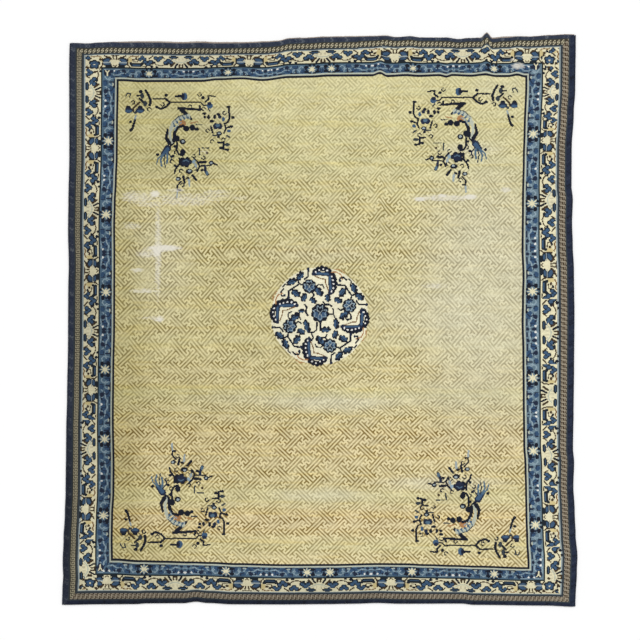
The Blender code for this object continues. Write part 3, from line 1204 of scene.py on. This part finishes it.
def draw_leaf(c, x, y, length, width, turn):
    """Lobed dark leaf, blue on one half, with a dark vein."""
    a = np.radians(turn)
    out, side = np.array((np.cos(a), np.sin(a))), np.array((-np.sin(a), np.cos(a)))
    root = np.array((x, y))
    c.oval(x, y, length * 0.54, width * 0.4, "ink", turn)
    for at, way in ((-0.26, 1), (-0.1, -1), (0.1, 1), (0.26, -1)):
        lobe = root + at * length * out + 0.3 * width * way * side
        c.oval(*lobe, length * 0.17, width * 0.3, "ink", turn)
    c.oval(*(root + 0.12 * width * side), length * 0.38, width * 0.3, "blue", turn)
    c.line((root - 0.2 * length * out, root + 0.36 * length * out), 0.7, "ink")


def draw_peony(c, x, y, half_x, half_y):
    """Scalloped dark flower: a curled heart above, and wide blue petals with pale rims below."""
    def place(angle, share):
        return x + half_x * share * np.cos(angle), y + half_y * share * np.sin(angle)

    turns = np.radians(np.arange(0, 360, 40) + 10)
    for angle in turns:
        c.oval(*place(angle, 0.72), half_x * 0.34, half_y * 0.34, "ink")
    c.oval(x, y, half_x * 0.84, half_y * 0.84, "ink")
    for angle in np.radians((20, 90, 160)):
        c.oval(*place(angle, 0.5), half_x * 0.3, half_y * 0.3, "blue")
    for angle in np.radians((200, 250, 290, 340)):
        c.line([place(angle - 0.3, 0.56), place(angle, 0.84), place(angle + 0.3, 0.56)], 0.7, "mist")
    for angle in np.radians((30, 90, 150)):
        c.line([place(angle - 0.4, 0.56), place(angle, 0.8), place(angle + 0.4, 0.56)], 0.7, "mist")
    for angle in np.radians((60, 120, 225, 315)):
        c.line([place(angle, 0.08), place(angle, 0.48)], 0.7, "grey")


def draw_butterfly(c):
    """Two scalloped wings at a right angle, dark at the rim, with white spots and blue within."""
    upper = ((-4.4, -44.2), (-1.4, -46.6), (2.4, -47.6), (6.2, -46.8), (9.4, -44.8))
    side = ((13.2, -40.4), (14.6, -36.6), (15.2, -32.6), (14.6, -28.6), (12.4, -24.8))
    for x, y in upper + side:
        c.oval(x, y, 2.9, 2.9, "ink")
    c.lines(
        3.8, "navy",
        ((-6.2, -42.2), (-2, -42.4), (8, -41.8), (11, -39.4)),
        ((10.6, -40.4), (10.8, -30), (10.6, -22.6)),
    )
    c.lines(2.0, "blue", ((-2.6, -42.6), (8.4, -42.0)), ((10.4, -39.4), (10.8, -26.6)))
    spots = (
        (-3.8, -43.9), (-0.3, -45.7), (3.7, -46.9), (7.6, -45.5), (12.0, -39.5), (13.2, -36.0),
        (13.9, -32.2), (13.8, -28.0), (12.0, -24.8),
    )
    for x, y in spots:
        c.oval(x, y, 0.9, 0.9, "white")
    c.line(((-4.6, -39.8), (1.2, -37.4), (5.8, -36.8), (6.0, -32.9), (8.9, -25.2)), 1.1, "brown")
    c.line(((12.0, -43.7), (16.6, -44.0), (21.3, -41.4), (22.8, -36.8)), 1.2, "rust")
    c.line(((15.0, -46.4), (20.0, -46.6), (24.6, -43.0)), 0.9, "rust")


# Middle and radius of the medallion in chart squares
MEDALLION_MIDDLE = (319.6, 316)
MEDALLION_RADIUS = 48.6
# Leaves of a quarter of the medallion, and those round its middle flower
# Columns: chart x and y from its middle, length, width, turn in degrees
MEDALLION_LEAVES = (
    (-19.5, -40.2, 9.8, 6.2, -45), (-27.8, -34.4, 10, 6, -15), (-23.6, -22.9, 9.8, 6.2, 38),
    (-15.7, -18.6, 8.6, 5.6, -60), (-0.7, -24.5, 11, 6.4, 55),
)
MIDDLE_LEAVES = (
    (-6.4, -15.6, 8, 5.2, 50), (8.2, -18.0, 8, 5.2, 85), (-18, -5.2, 6.6, 3.8, 0),
    (-12.6, 10.2, 13.4, 5.4, 75), (6.2, 13.6, 10, 5.6, 0), (16.6, 7.8, 10.4, 5.4, 90),
)
# Stems and curls of a quarter of the medallion, and those round its middle flower
# Columns: width, then the bends of the line
MEDALLION_STEMS = (
    (1.8, ((-22.6, -37.5), (-20.3, -32.1), (-26.4, -27.9), (-30.7, -25.2), (-31, -19.1))),
    (1.7, ((-20.3, -32.1), (-16.5, -31))),
    (1.7, ((-15.2, -36.7), (-11.6, -39.4), (-11.2, -47))),
    (1.4, ((-4.4, -28.6), (-1, -31.4), (3, -31), (4.4, -28))),
    (1.6, ((-8, -24), (-5.4, -21.4), (-7.4, -18.6))),
    (1.7, ((-36, -27), (-38.6, -24), (-38, -20.4), (-35.4, -20))),
    (1.4, ((-31, -31), (-35, -31.6), (-37, -29))),
)
MIDDLE_STEMS = (
    (1.5, ((-2.6, 6), (-2.8, 13.4), (-5.6, 16.2), (-11, 16.7))),
    (1.5, ((0.8, 6), (0.8, 14.8))),
    (1.6, ((-8, 18), (-6.4, 21.7), (-8, 24.8))),
    (1.4, ((9.7, -1.8), (13.5, -2.1), (13.9, -6), (12.8, -7.5))),
    (1.4, ((13.5, -2.1), (16, 3))),
    (1.9, ((-14.9, -11.4), (-13, -9.1), (-13.8, -3.7), (-11.8, -0.6))),
    (1.8, ((3.6, -14), (5.5, -11.4), (9.7, -11.4), (12, -9.8))),
    (1.5, ((-25, -1.5), (-20.6, 0.1), (-19, 3.2))),
    (1.5, ((24.4, 0), (27.4, 3.6), (31.3, 3.2), (32, 0.5))),
    (1.5, ((1.6, 24), (2.4, 21.3), (5.5, 22))),
)


def draw_medallion_part(c, stems, leaves):
    for width, bends in stems:
        c.line(bends, width, "ink")
    for leaf in leaves:
        draw_leaf(c, *leaf)


def draw_medallion_quarter(c):
    draw_medallion_part(c, MEDALLION_STEMS, MEDALLION_LEAVES)
    c.ovals("navy", (-11.4, -47, 1.5, 1.5), (-31, -18.6, 1.5, 1.5), (-35, -20.4, 1.3, 1.3))
    draw_peony(c, -10.3, -29.8, 6.9, 6.9)
    draw_butterfly(c)


def medallion_wools(columns, rows):
    """A round cream ground with a peony in the middle and four turns of one quarter about it."""
    x, y = knot_middles(columns, rows)[2:]
    chart = Chart(x, y).seen(*MEDALLION_MIDDLE)
    chart.oval(0, 0, MEDALLION_RADIUS, MEDALLION_RADIUS, "ivory")
    for quarter_turns in range(4):
        draw_medallion_quarter(chart.seen(0, 0, quarter_turns))
    draw_medallion_part(chart, MIDDLE_STEMS, MIDDLE_LEAVES)
    draw_peony(chart, 0.4, -3, 8.8, 9.2)
    return chart.wool


def draw_small_butterfly(c):
    """A butterfly at the corner, its wings open towards the field."""
    c.oval(23.6, 11.6, 2.0, 1.6, "ink")
    c.oval(25.2, 15.8, 1.8, 2.8, "slate")
    c.line(((19.8, 15.8), (23.4, 15.6)), 1.3, "ink")
    c.line(((22.6, 18.6), (27.4, 22.8)), 1.6, "ink", 2.2)
    c.oval(28.2, 23.6, 2.0, 2.6, "slate")
    c.line(((28.6, 10.5), (31.4, 15), (33.6, 20.5), (32.8, 25)), 2.0, "ink", 2.4)
    c.line(((8, 17.4), (10.4, 13.2), (13.4, 13.6), (12.8, 17.2)), 1.1, "slate")


def draw_twin_flowers(c):
    """Two blue flowers on one stem, below the butterfly."""
    c.line(((22.4, 22.4), (16.6, 27.8), (16, 31)), 1.6, "umber")
    for x in (11.5, 23.2):
        c.oval(x, 27.8, 2.4, 2.2, "ink")
        c.oval(x, 30.4, 4.3, 2.6, "navy")
        c.oval(x, 31.2, 3.2, 1.3, "blue")
    c.oval(18.2, 32.6, 1.5, 1.2, "slate")
    c.line(((18.8, 36), (17, 42)), 1.5, "grey")
    c.line(((18, 40), (15.6, 48), (13.8, 50.4)), 1.7, "ink", 2.6)
    c.oval(13.6, 41.8, 1.5, 1.2, "ink")


def draw_top_twig(c):
    """The long level twig along the end of the field, with its leaves."""
    c.line(((36, 18.8), (48, 18.7), (53, 22.5)), 1.3, "ink")
    c.line(((48.4, 18.7), (53, 22.5), (49.2, 26.8), (43.6, 29), (40, 27.2)), 1.9, "ink")
    c.ovals("ink", (49.2, 15.2, 1.7, 1.4), (39.8, 27, 1.6, 1.4))
    c.line(((53, 22.5), (84, 22.4), (86.6, 25.4), (91, 25.4)), 1.2, "ink")
    c.oval(67.6, 16.6, 2.9, 3.6, "blue")
    c.oval(66.0, 16.4, 1.6, 3.4, "navy")
    c.line(((59, 16.3), (65.4, 16.2)), 2.1, "ink")
    c.oval(86, 17.7, 1.7, 1.5, "ink")
    c.line(((98, 16.6), (94, 15.8), (91, 16), (91.6, 19), (88.4, 21.8)), 1.2, "ink", 1.8)
    c.oval(92.7, 25.8, 2.9, 2.6, "blue")
    c.oval(92.4, 23.6, 2.2, 1.6, "navy")
    c.line(((91.4, 29), (93, 31)), 1.1, "slate")


def draw_bird(c):
    """The bird: head and breast, pale feathered back, dark wings and a blue tail of plumes."""
    c.line(((61.4, 28.4), (72, 28.8), (83.4, 29.8), (82.6, 26.2)), 2.4, "ink", 1.8)
    c.line(((64.4, 29.8), (69, 34), (74.2, 38.8)), 3.8, "ink", 2.2)
    c.line(((70, 34.4), (72.2, 38.2)), 1.5, "grey")
    c.line(((71, 36), (62, 37.8), (56, 43), (54, 50)), 3.8, "pale", 2.4)
    for x, y in ((70.6, 37.6), (67.2, 38.6), (63.6, 40), (60.4, 42.4), (57.6, 46)):
        c.oval(x, y, 1.1, 1.1, "steel")
    for x, y in ((69, 34.6), (65.4, 35.6), (61.8, 37.2), (58.6, 39.8), (56.2, 43)):
        c.line(((x, y), (x + 1.6, y + 3.2)), 0.9, "sky")
    c.line(((70, 34), (61, 36.6), (55.4, 42)), 0.7, "slate")
    c.line(((53.8, 47), (52.8, 56), (54.8, 63)), 2.2, "pale")
    c.oval(65.6, 43.6, 3.4, 3.1, "rust")
    c.line(((74, 43.2), (80.4, 41.6)), 0.9, "rust")
    c.line(((66, 45.8), (60.6, 47.4), (57.4, 53), (57, 61)), 2.2, "ink", 3.0)
    c.line(((64.6, 42.6), (60.4, 45.2), (57.6, 50)), 0.7, "mist")
    c.oval(60.2, 58.6, 2.6, 3.1, "ink")
    c.line(((50.8, 49.4), (49.2, 58), (52.4, 63)), 1.8, "ink", 3.6)
    c.ovals("ink", (69.2, 48.6, 3.0, 2.9), (75.4, 47.6, 2.8, 2.9), (79.8, 49.2, 1.9, 1.6))
    c.line(((79, 44.6), (85, 44.8)), 1.0, "slate")
    c.line(((49, 70), (56.6, 63.4)), 2.0, "ink", 1.5)
    c.line(((50.6, 68.6), (46.2, 74)), 5.8, "navy", 4.2)
    c.line(((50.4, 69.4), (46.8, 73.8)), 3.4, "blue", 2.4)
    c.line(((46, 75), (43.6, 80), (44.6, 86)), 1.7, "sky", 1.3)
    c.line(((50, 74), (50.6, 79), (49.8, 83.4)), 1.9, "sky", 1.5)
    c.line(((45.4, 74.4), (40.8, 79), (39.6, 84)), 1.2, "sky", 0.9)
    c.line(((48.4, 74), (47, 80), (48.4, 87.4)), 1.2, "slate", 0.9)
    c.line(((51, 72.6), (54.6, 77.6), (53.8, 81)), 1.2, "navy", 0.9)
    c.ovals("ink", (40.6, 74.6, 1.6, 1.4), (56, 76, 1.5, 1.3))


def draw_peony_twig(c):
    """The twig with the large flower beyond the tail."""
    c.line(((60, 62.6), (59.6, 70), (62, 74.4), (65.8, 75.8)), 1.8, "ink", 1.6)
    c.ovals("ink", (58, 66.4, 1.4, 1.3), (65.6, 61.8, 3.0, 2.6))
    c.oval(65.8, 61.4, 1.3, 1.1, "grey")
    c.oval(65.8, 72.2, 2.6, 3.2, "ink")
    for x, y in ((65.6, 79.8), (70.4, 79.4), (72.8, 81.8), (65.4, 84.2), (69.6, 85)):
        c.oval(x, y, 2.5, 2.4, "ink")
    c.oval(69.2, 82.2, 4.4, 3.4, "navy")
    c.line(((66.4, 81.2), (69, 80), (71.6, 81.6)), 0.8, "sky")
    c.oval(77, 81.2, 1.5, 2.5, "mist", 30)
    c.oval(78.8, 85.4, 1.3, 2.4, "grey", -20)
    c.line(((76.8, 78), (80.4, 81.6), (82.6, 86.4), (80.2, 91)), 1.5, "ink", 1.7)
    c.line(((83, 82.2), (88.6, 81.8)), 2.3, "ink")
    c.line(((83.6, 85.8), (93.8, 85.6)), 1.2, "ink")
    c.oval(94.2, 82.9, 2.4, 2.2, "ink")
    c.oval(94.2, 83.1, 1.1, 0.9, "grey")
    c.line(((96, 83.4), (100, 84.8)), 1.4, "ink")
    c.line(((88, 86), (88.2, 90), (90.4, 94.4)), 2.2, "navy", 2.6)
    c.oval(90, 93, 1.3, 2.0, "sky")
    c.oval(85.2, 90, 1.6, 1.3, "ink")
    c.line(((82.2, 68.4), (82.8, 74.8)), 1.3, "slate")
    c.line(((85, 68), (92, 68)), 1.0, "slate")
    c.oval(90, 73, 1.3, 1.1, "umber")


def draw_curls(c):
    """Fine tendrils between the flowers of the spray."""
    for x, y, way_x, way_y in (
        (14, 22, 1, 1), (34, 29, -1, 1), (43.6, 24.6, 1, -1), (71, 26.4, 1, 1), (80.6, 14.8, 1, -1),
        (88.6, 28.6, -1, 1), (92.6, 50.4, -1, 1), (104.6, 59.6, 1, 1), (97, 61, -1, 1),
        (109.4, 33.4, -1, -1), (61, 72, -1, 1), (76, 88.4, 1, 1), (84.4, 78, 1, -1),
        (66, 90.6, -1, 1), (63.6, 104.6, 1, 1), (56.6, 81, -1, 1), (74.6, 76.4, 1, -1),
    ):
        bends = ((0, 0), (1.8, -1.6), (3.6, -0.6), (3.4, 1.6), (1.8, 2.0))
        c.line([(x + way_x * dx, y + way_y * dy) for dx, dy in bends], 0.9, "ink")


def draw_low_twig(c):
    """The thin twig that runs on along the side of the field."""
    c.line(((62.4, 78.4), (62.4, 84), (58.4, 89.4), (57.4, 93.4)), 1.8, "ink", 1.5)
    c.ovals("ink", (58.2, 85.7, 1.4, 1.3), (72.2, 91.4, 3.5, 2.4))
    c.oval(72.6, 90.8, 1.5, 1.0, "grey")
    c.line(((66.3, 96.6), (67.7, 102.4)), 2.2, "ink", 1.9)
    c.line(((75.4, 95.2), (79, 99.8)), 1.9, "ink", 2.3)
    c.line(((69, 99), (71, 97.4), (72.4, 101)), 1.4, "ink")
    c.line(((72, 100), (72.6, 106)), 2.0, "grey", 1.5)
    c.oval(61.3, 98.8, 2.7, 2.0, "ink")
    c.oval(61.0, 98.9, 1.3, 0.9, "grey")
    c.line(((64, 101.6), (60.2, 105.8), (60.6, 110), (63.4, 110)), 1.5, "ink")
    c.line(((60.4, 111.4), (60, 117)), 1.6, "grey")


def draw_right_twig(c):
    """The branch of small buds towards the middle of the rug."""
    c.ovals(
        "ink",
        (87.4, 33.6, 2.0, 1.2), (87.7, 37, 1.4, 1.4), (91.6, 37.1, 1.4, 2.2), (97.7, 36.8, 1.5, 2.3),
        (101.3, 34.3, 1.9, 1.3), (94.9, 41.2, 2.4, 1.3), (101.6, 57, 1.3, 1.3), (111.4, 26.8, 2.0, 1.1),
        (115.8, 37.5, 1.7, 1.5), (114.4, 46.4, 1.6, 1.3), (103.8, 67.9, 1.8, 1.4),
        (110.4, 69.7, 1.5, 1.2),
    )
    c.oval(102.6, 36.8, 1.7, 1.9, "navy")
    c.oval(106.3, 39.3, 1.4, 2.1, "blue")
    c.ovals("navy", (98.6, 46.2, 2.5, 2.9), (102.8, 46.2, 2.5, 2.9))
    c.oval(100.6, 45.4, 2.2, 1.5, "sky")
    c.line(((93.8, 46.4), (95.8, 53)), 1.6, "ink")
    c.oval(102, 53.6, 2.7, 2.1, "ink")
    c.oval(102.2, 53.3, 1.2, 0.9, "grey")
    c.line(((95.6, 55.2), (101, 55.4)), 1.2, "slate")
    c.line(((112, 27), (112.4, 38.6), (110.6, 42.4), (107.4, 43.8)), 1.8, "ink", 1.4)
    c.lines(1.5, "ink", ((107.4, 43.6), (109, 48.6), (107, 53)), ((109.6, 47.8), (114, 46.6)))
    c.oval(112, 51, 1.8, 1.5, "blue")
    c.line(((110, 55.6), (112.6, 57.2)), 1.5, "slate")
    c.line(((100.8, 62.4), (106.4, 62.8), (106.4, 69.2), (110.2, 69.8)), 1.6, "ink")
    c.oval(110.2, 64.6, 2.8, 1.4, "slate")


# The corner spray, counted from the corner of the field: a bird among flowering twigs
SPRAY_WEIGHT = 1.2
SPRAY = (
    draw_curls, draw_small_butterfly, draw_twin_flowers, draw_top_twig, draw_bird, draw_peony_twig,
    draw_low_twig, draw_right_twig,
)


def corner_wools(columns, rows, name):
    """The spray of one corner on the fret, which shows wherever no knot of it is charted."""
    x, y = knot_middles(columns, rows)[2:]
    corner_x, corner_y, flip_x, flip_y = CORNERS[name]
    chart = Chart(x, y, weight=SPRAY_WEIGHT).seen(corner_x, corner_y, 0, flip_x, flip_y)
    for draw in SPRAY:
        draw(chart)
    return chart.wool


def make_pile(material):
    """All stretches of the pile: the plain field, the charted patches and the four borders."""
    meshes = [field_mesh()]
    for name, (u0, u1, v0, v1) in PATCHES.items():
        columns, rows = np.arange(u0, u1 + 1), np.arange(v0, v1 + 1)
        if name == "medallion":
            wools = medallion_wools(columns, rows)
        else:
            wools = corner_wools(columns, rows, name)
        meshes.append(knot_sheet(name + "_pile", columns, rows, wools))
    for name, u0, u1, v0, v1, skirts in (
        ("border_left", 0, SIDE_KNOTS, 0, ROWS, "left low high"),
        ("border_right", COLUMNS - SIDE_KNOTS, COLUMNS, 0, ROWS, "right low high"),
        ("border_low", SIDE_KNOTS, COLUMNS - SIDE_KNOTS, 0, BOTTOM_ROWS, "low"),
        ("border_top", SIDE_KNOTS, COLUMNS - SIDE_KNOTS, ROWS - TOP_ROWS, ROWS, "high"),
    ):
        columns, rows = np.arange(u0, u1 + 1), np.arange(v0, v1 + 1)
        meshes.append(knot_sheet(name + "_pile", columns, rows, border_wools(columns, rows), skirts))
    return [add_piece(mesh.name, mesh, material) for mesh in meshes]


def back_material():
    """The flat back of the knots, paler and ridged by the rows of weft."""
    material, tree, shader = new_material("rug_back")
    u, v = knot_lines(tree)
    column, row = u.floor(), v.floor()
    fibre = noise(tree, object_place(tree), 700.0, 1.0)
    colour = scale_colour(tree, knot_colour(tree, fret_share(column, row)), fibre * 0.3 + 0.75)
    ridge = (v - row - 0.5).size() * -1
    set_surface(tree, shader, colour, ridge + fibre * 0.5, 0.0004, 0.6, fibre * 0.15 + 0.82)
    set_shine(shader, 0.15)
    return material


# Knots and rows between the mesh lines of the hidden body
BODY_PITCH = (3, 12)
# Knot lines on each side of the sharp tuck at the end, where they lie closer
TUCK_KNOTS = (576, 614)
# How far the hidden body keeps inside the pile's sides, in knots, and how high it fills the pile
BODY_INSET = 0.3
BODY_SHARE = 0.5


def slab_mesh():
    """The closed body under the pile, down to the back of the knots."""
    side, top, bottom = band_lines()
    cuts_u = sorted({*side, *(COLUMNS - side), *TUCK_KNOTS})
    cuts_v = sorted({*bottom, *(ROWS - top)})
    columns = np.union1d(fill_between(cuts_u, BODY_PITCH[0]), np.arange(*TUCK_KNOTS))
    rows = fill_between(cuts_v, BODY_PITCH[1])
    u, v = np.meshgrid(columns, rows)
    inner_u = np.clip(u, BODY_INSET, COLUMNS - BODY_INSET)
    inner_v = np.clip(v, BODY_INSET, ROWS - BODY_INSET)
    x, y = lay(inner_u, inner_v)
    low = rise(x, y)
    high = low + BODY_SHARE * (THICKNESS - PILE_ROUND_DROP * pile_drop(v))
    points = np.vstack([in_frame(x, y, z).reshape(-1, 3) for z in (low, high)])
    under = grid_faces(*u.shape)[:, ::-1]
    over = grid_faces(*u.shape, u.size)
    index = np.arange(u.size).reshape(u.shape)
    rim = np.concatenate([index[0], index[1:, -1], index[-1, -2::-1], index[-2:0:-1, 0]])
    following = np.roll(rim, -1)
    sides = np.stack([rim, following, following + u.size, rim + u.size], axis=1)
    mesh = build_mesh("rug_body", points, np.vstack([under, over, sides]))
    places = np.stack([u, v], axis=-1).reshape(-1, 2)
    set_uv(mesh, "knots", np.vstack([places, places]))
    ground, line = field_colours(np.vstack([x, x]), np.vstack([y, y]))
    set_point_colour(mesh, "ground", ground)
    set_point_colour(mesh, "line", line)
    wools = back_wools(columns, rows).ravel()
    edge = np.full(len(sides), WOOL_ORDER.index(BAND_WOOLS["edge"]))
    set_wools(mesh, np.concatenate([wools, wools, edge]))
    return mesh


def back_wools(columns, rows):
    """The main wool of each band, as it shows on the back; -1 in the field."""
    u, v = np.meshgrid((columns[:-1] + columns[1:]) / 2, (rows[:-1] + rows[1:]) / 2)
    _, band, share = band_places(u, v)
    lots = np.array([WOOL_ORDER.index(BAND_WOOLS[name]) for name in BAND_NAMES])
    return np.where(share >= 1, -1, lots[band])


def binding_material():
    """Dark wool yarn, wrapped round and round the outermost warps."""
    material, tree, shader = new_material("binding_wool")
    place = object_place(tree)
    lots = stretched_noise(tree, place, 0, 9, 3.0)
    fibre = noise(tree, place, 1500.0, 1.0)
    colour = blend_colour(tree, lots * 1.6 - 0.3, opaque(YARN_DARK), opaque(YARN_LIGHT))
    colour = scale_colour(tree, colour, fibre * 0.8 + 0.6)
    set_surface(tree, shader, colour, fibre, 0.0004, 0.5, fibre * 0.2 + 0.75)
    set_shine(shader, 0.2, 0.1)
    return material


# Turns of the binding's yarn: distance from one to the next, corners and stations of its mesh
WRAP_PITCH = 0.0044
WRAP_SIDES = 9
WRAP_STEPS = 3
WRAP_GROOVE = 0.0006
# Over what length its ends taper, and to what share of its size
WRAP_TAPER = 0.004
WRAP_END = 0.3


def binding_mesh(name, edge, side):
    """A cord of yarn wrapped in a slanted spiral, with the groove between each two turns."""
    station_x = side * WIDTH / 2
    low, high = bottom_y(station_x), top_y(station_x) - curve(WEB, station_x)
    turns = int((high - low) / WRAP_PITCH)
    y = np.linspace(low, high, turns * WRAP_STEPS + 1)[:, None]
    angle = (2 * np.pi * np.arange(WRAP_SIDES) / WRAP_SIDES)[None, :]
    phase = (y - low) / WRAP_PITCH + side * angle / (2 * np.pi)
    groove = WRAP_GROOVE * (1 - np.abs(np.sin(np.pi * phase)) ** 0.7)
    ends = smooth(0, WRAP_TAPER, np.minimum(y - low, high - y)) * (1 - WRAP_END) + WRAP_END
    fat = 1 + 0.05 * wave_noise(3 + side, y, 0.5, 0.03)
    across_half = (CORD_WIDTH / 2 * fat - groove) * ends
    up_half = (CORD_HEIGHT / 2 * fat - groove) * ends
    x = edge(y) - side * CORD_WIDTH / 2 + across_half * np.cos(angle)
    lifted = rise(np.full_like(y, station_x), y)
    z = np.maximum(CORD_HEIGHT / 2 * 0.97 + up_half * np.sin(angle), 0.0002) + lifted
    points = in_frame(x, np.broadcast_to(y, x.shape), z)
    flat = points.reshape(-1, 3)
    faces = ring_faces(len(points), WRAP_SIDES)[:, ::-1]
    caps = []
    for ring, order in ((0, 1), (len(points) - 1, -1)):
        centre = len(flat)
        start = ring * WRAP_SIDES
        flat = np.vstack([flat, flat[start:start + WRAP_SIDES].mean(0)])
        for k in range(0, WRAP_SIDES - 1, 2):
            picked = [centre, *(start + (k + d) % WRAP_SIDES for d in (0, 1, 2))]
            caps.append(picked[::order])
    return build_mesh(name, flat, np.vstack([faces, np.array(caps)]))


def web_material():
    """Undyed cotton, plain woven, soiled to a pinkish grey, with painted light and shade over its weave.
    """
    material, tree, shader = new_material("cotton_web")
    place = object_place(tree)
    x, y, _ = split_xyz(tree, place)
    weave_height_and_shade = (x * (np.pi / WARP_PITCH)).math("SINE") * (y * (np.pi / WEFT_PITCH)).math("SINE")
    soil = noise(tree, place, 14.0, 4.0)
    colour = blend_colour(tree, soil * 1.6 - 0.3, opaque(COTTON_PALE), opaque(COTTON_SOILED))
    # The weave's height also scales the colour: painted light on the crowns of the threads, painted
    # shade between them.
    colour = scale_colour(tree, colour, weave_height_and_shade * 0.12 + 0.95)
    set_surface(tree, shader, colour, weave_height_and_shade, 0.0003, 0.6, soil * 0.1 + 0.85)
    set_shine(shader, 0.1)
    return material


# Distance between the stations of the web's mesh, and between the threads of its weave
WEB_PITCH = 0.004
WARP_PITCH = 0.0019
WEFT_PITCH = 0.0016


def web_mesh():
    """The bare web past the pile, with its outer edge a little uneven."""
    share = np.linspace(-1, 1, int(WIDTH / WEB_PITCH) + 1)
    at = share * (WIDTH / 2 - 0.001)
    rng = np.random.default_rng(5)
    outer = top_y(at) - 0.0006 + rng.normal(0, 0.0005, at.shape)
    inner = top_y(at) - curve(WEB, at) - 0.004
    rings = []
    for across_web in (0.0, 0.5, 1.0):
        y = inner + (outer - inner) * across_web
        left, right = left_x(y) + INSET, right_x(y) - INSET
        x = (left + right) / 2 + (right - left) / 2 * share
        rings.append((x, y, lift(at, top_y(at) - y)))
    thick = WEB_THICKNESS * 0.9 + rng.normal(0, 0.00012, (3, len(at)))
    loop = [(x, y, z + 0.0001) for x, y, z in rings]
    loop += [(x, y, z + t) for (x, y, z), t in zip(rings[::-1], thick)]
    points = np.stack([in_frame(*ring) for ring in loop], axis=1)
    faces = ring_faces(*points.shape[:2])
    caps = []
    for start, order in ((0, -1), ((len(at) - 1) * len(loop), 1)):
        caps += [[start + k for k in corners][::order] for corners in ((0, 1, 4, 5), (1, 2, 3, 4))]
    return build_mesh("end_web", points.reshape(-1, 3), np.vstack([faces, np.array(caps)]))


# Half the floor's side, and how far it lies under the rug so that the two never flicker
FLOOR_REACH = 60
FLOOR_DROP = 0.0004
FLOOR_COLOUR = (0.965, 0.965, 0.965, 1)
WORLD_STRENGTH = 0.58
SUN_STRENGTH = 1.75
SUN_SOFTNESS = 50
SUN_TILT = 34
SUN_TURN = 150
CAMERA_HEIGHT = 8.0
PHOTO_SIDE = 640


def make_floor():
    corners = [(x * FLOOR_REACH, y * FLOOR_REACH, 0) for x, y in ((-1, -1), (1, -1), (1, 1), (-1, 1))]
    mesh = bpy.data.meshes.new("floor")
    mesh.from_pydata(corners, [], [(0, 1, 2, 3)])
    floor = bpy.data.objects.new("floor", mesh)
    bpy.context.scene.collection.objects.link(floor)
    floor.location.z = -FLOOR_DROP
    material, _, shader = new_material("floor")
    shader.inputs["Base Color"].default_value = FLOOR_COLOUR
    shader.inputs["Roughness"].default_value = 0.9
    shader.inputs["Specular IOR Level"].default_value = 0.0
    mesh.materials.append(material)


def make_light():
    world = bpy.data.worlds.new("studio")
    world.use_nodes = True
    background = world.node_tree.nodes["Background"]
    background.inputs["Color"].default_value = (1, 1, 1, 1)
    background.inputs["Strength"].default_value = WORLD_STRENGTH
    bpy.context.scene.world = world
    sun = bpy.data.lights.new("key", "SUN")
    sun.energy = SUN_STRENGTH
    sun.angle = np.radians(SUN_SOFTNESS)
    key = bpy.data.objects.new("key", sun)
    key.rotation_euler = np.radians(SUN_TILT), 0, np.radians(SUN_TURN)
    bpy.context.scene.collection.objects.link(key)
    bpy.context.scene.view_settings.view_transform = "Standard"


def make_camera():
    """Straight above the middle of the photo's frame."""
    data = bpy.data.cameras.new("camera")
    data.lens = data.sensor_width * CAMERA_HEIGHT / (PHOTO_SIDE * SQUARE)
    data.clip_end = 100
    camera = bpy.data.objects.new("camera", data)
    x = (PHOTO_SIDE / 2 - CHART_MIDDLE[0]) * SQUARE
    y = (CHART_MIDDLE[1] - PHOTO_SIDE / 2) * SQUARE
    camera.location = in_frame(x, y, CAMERA_HEIGHT + THICKNESS)
    bpy.context.scene.collection.objects.link(camera)
    bpy.context.scene.camera = camera


def main():
    make_camera()
    make_floor()
    make_light()
    wool = pile_material()
    body = add_piece("rug_body", slab_mesh(), back_material())
    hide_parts("rug")
    pile = make_pile(wool)
    web = add_piece("end_web", web_mesh(), web_material())
    yarn = binding_material()
    for name, node, edge, side in (
        ("binding_left", "edge_cord_left", left_x, -1),
        ("binding_right", "edge_cord_right", right_x, 1),
    ):
        binding = add_piece(name, binding_mesh(name, edge, side), yarn)
        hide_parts(node)
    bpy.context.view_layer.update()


main()
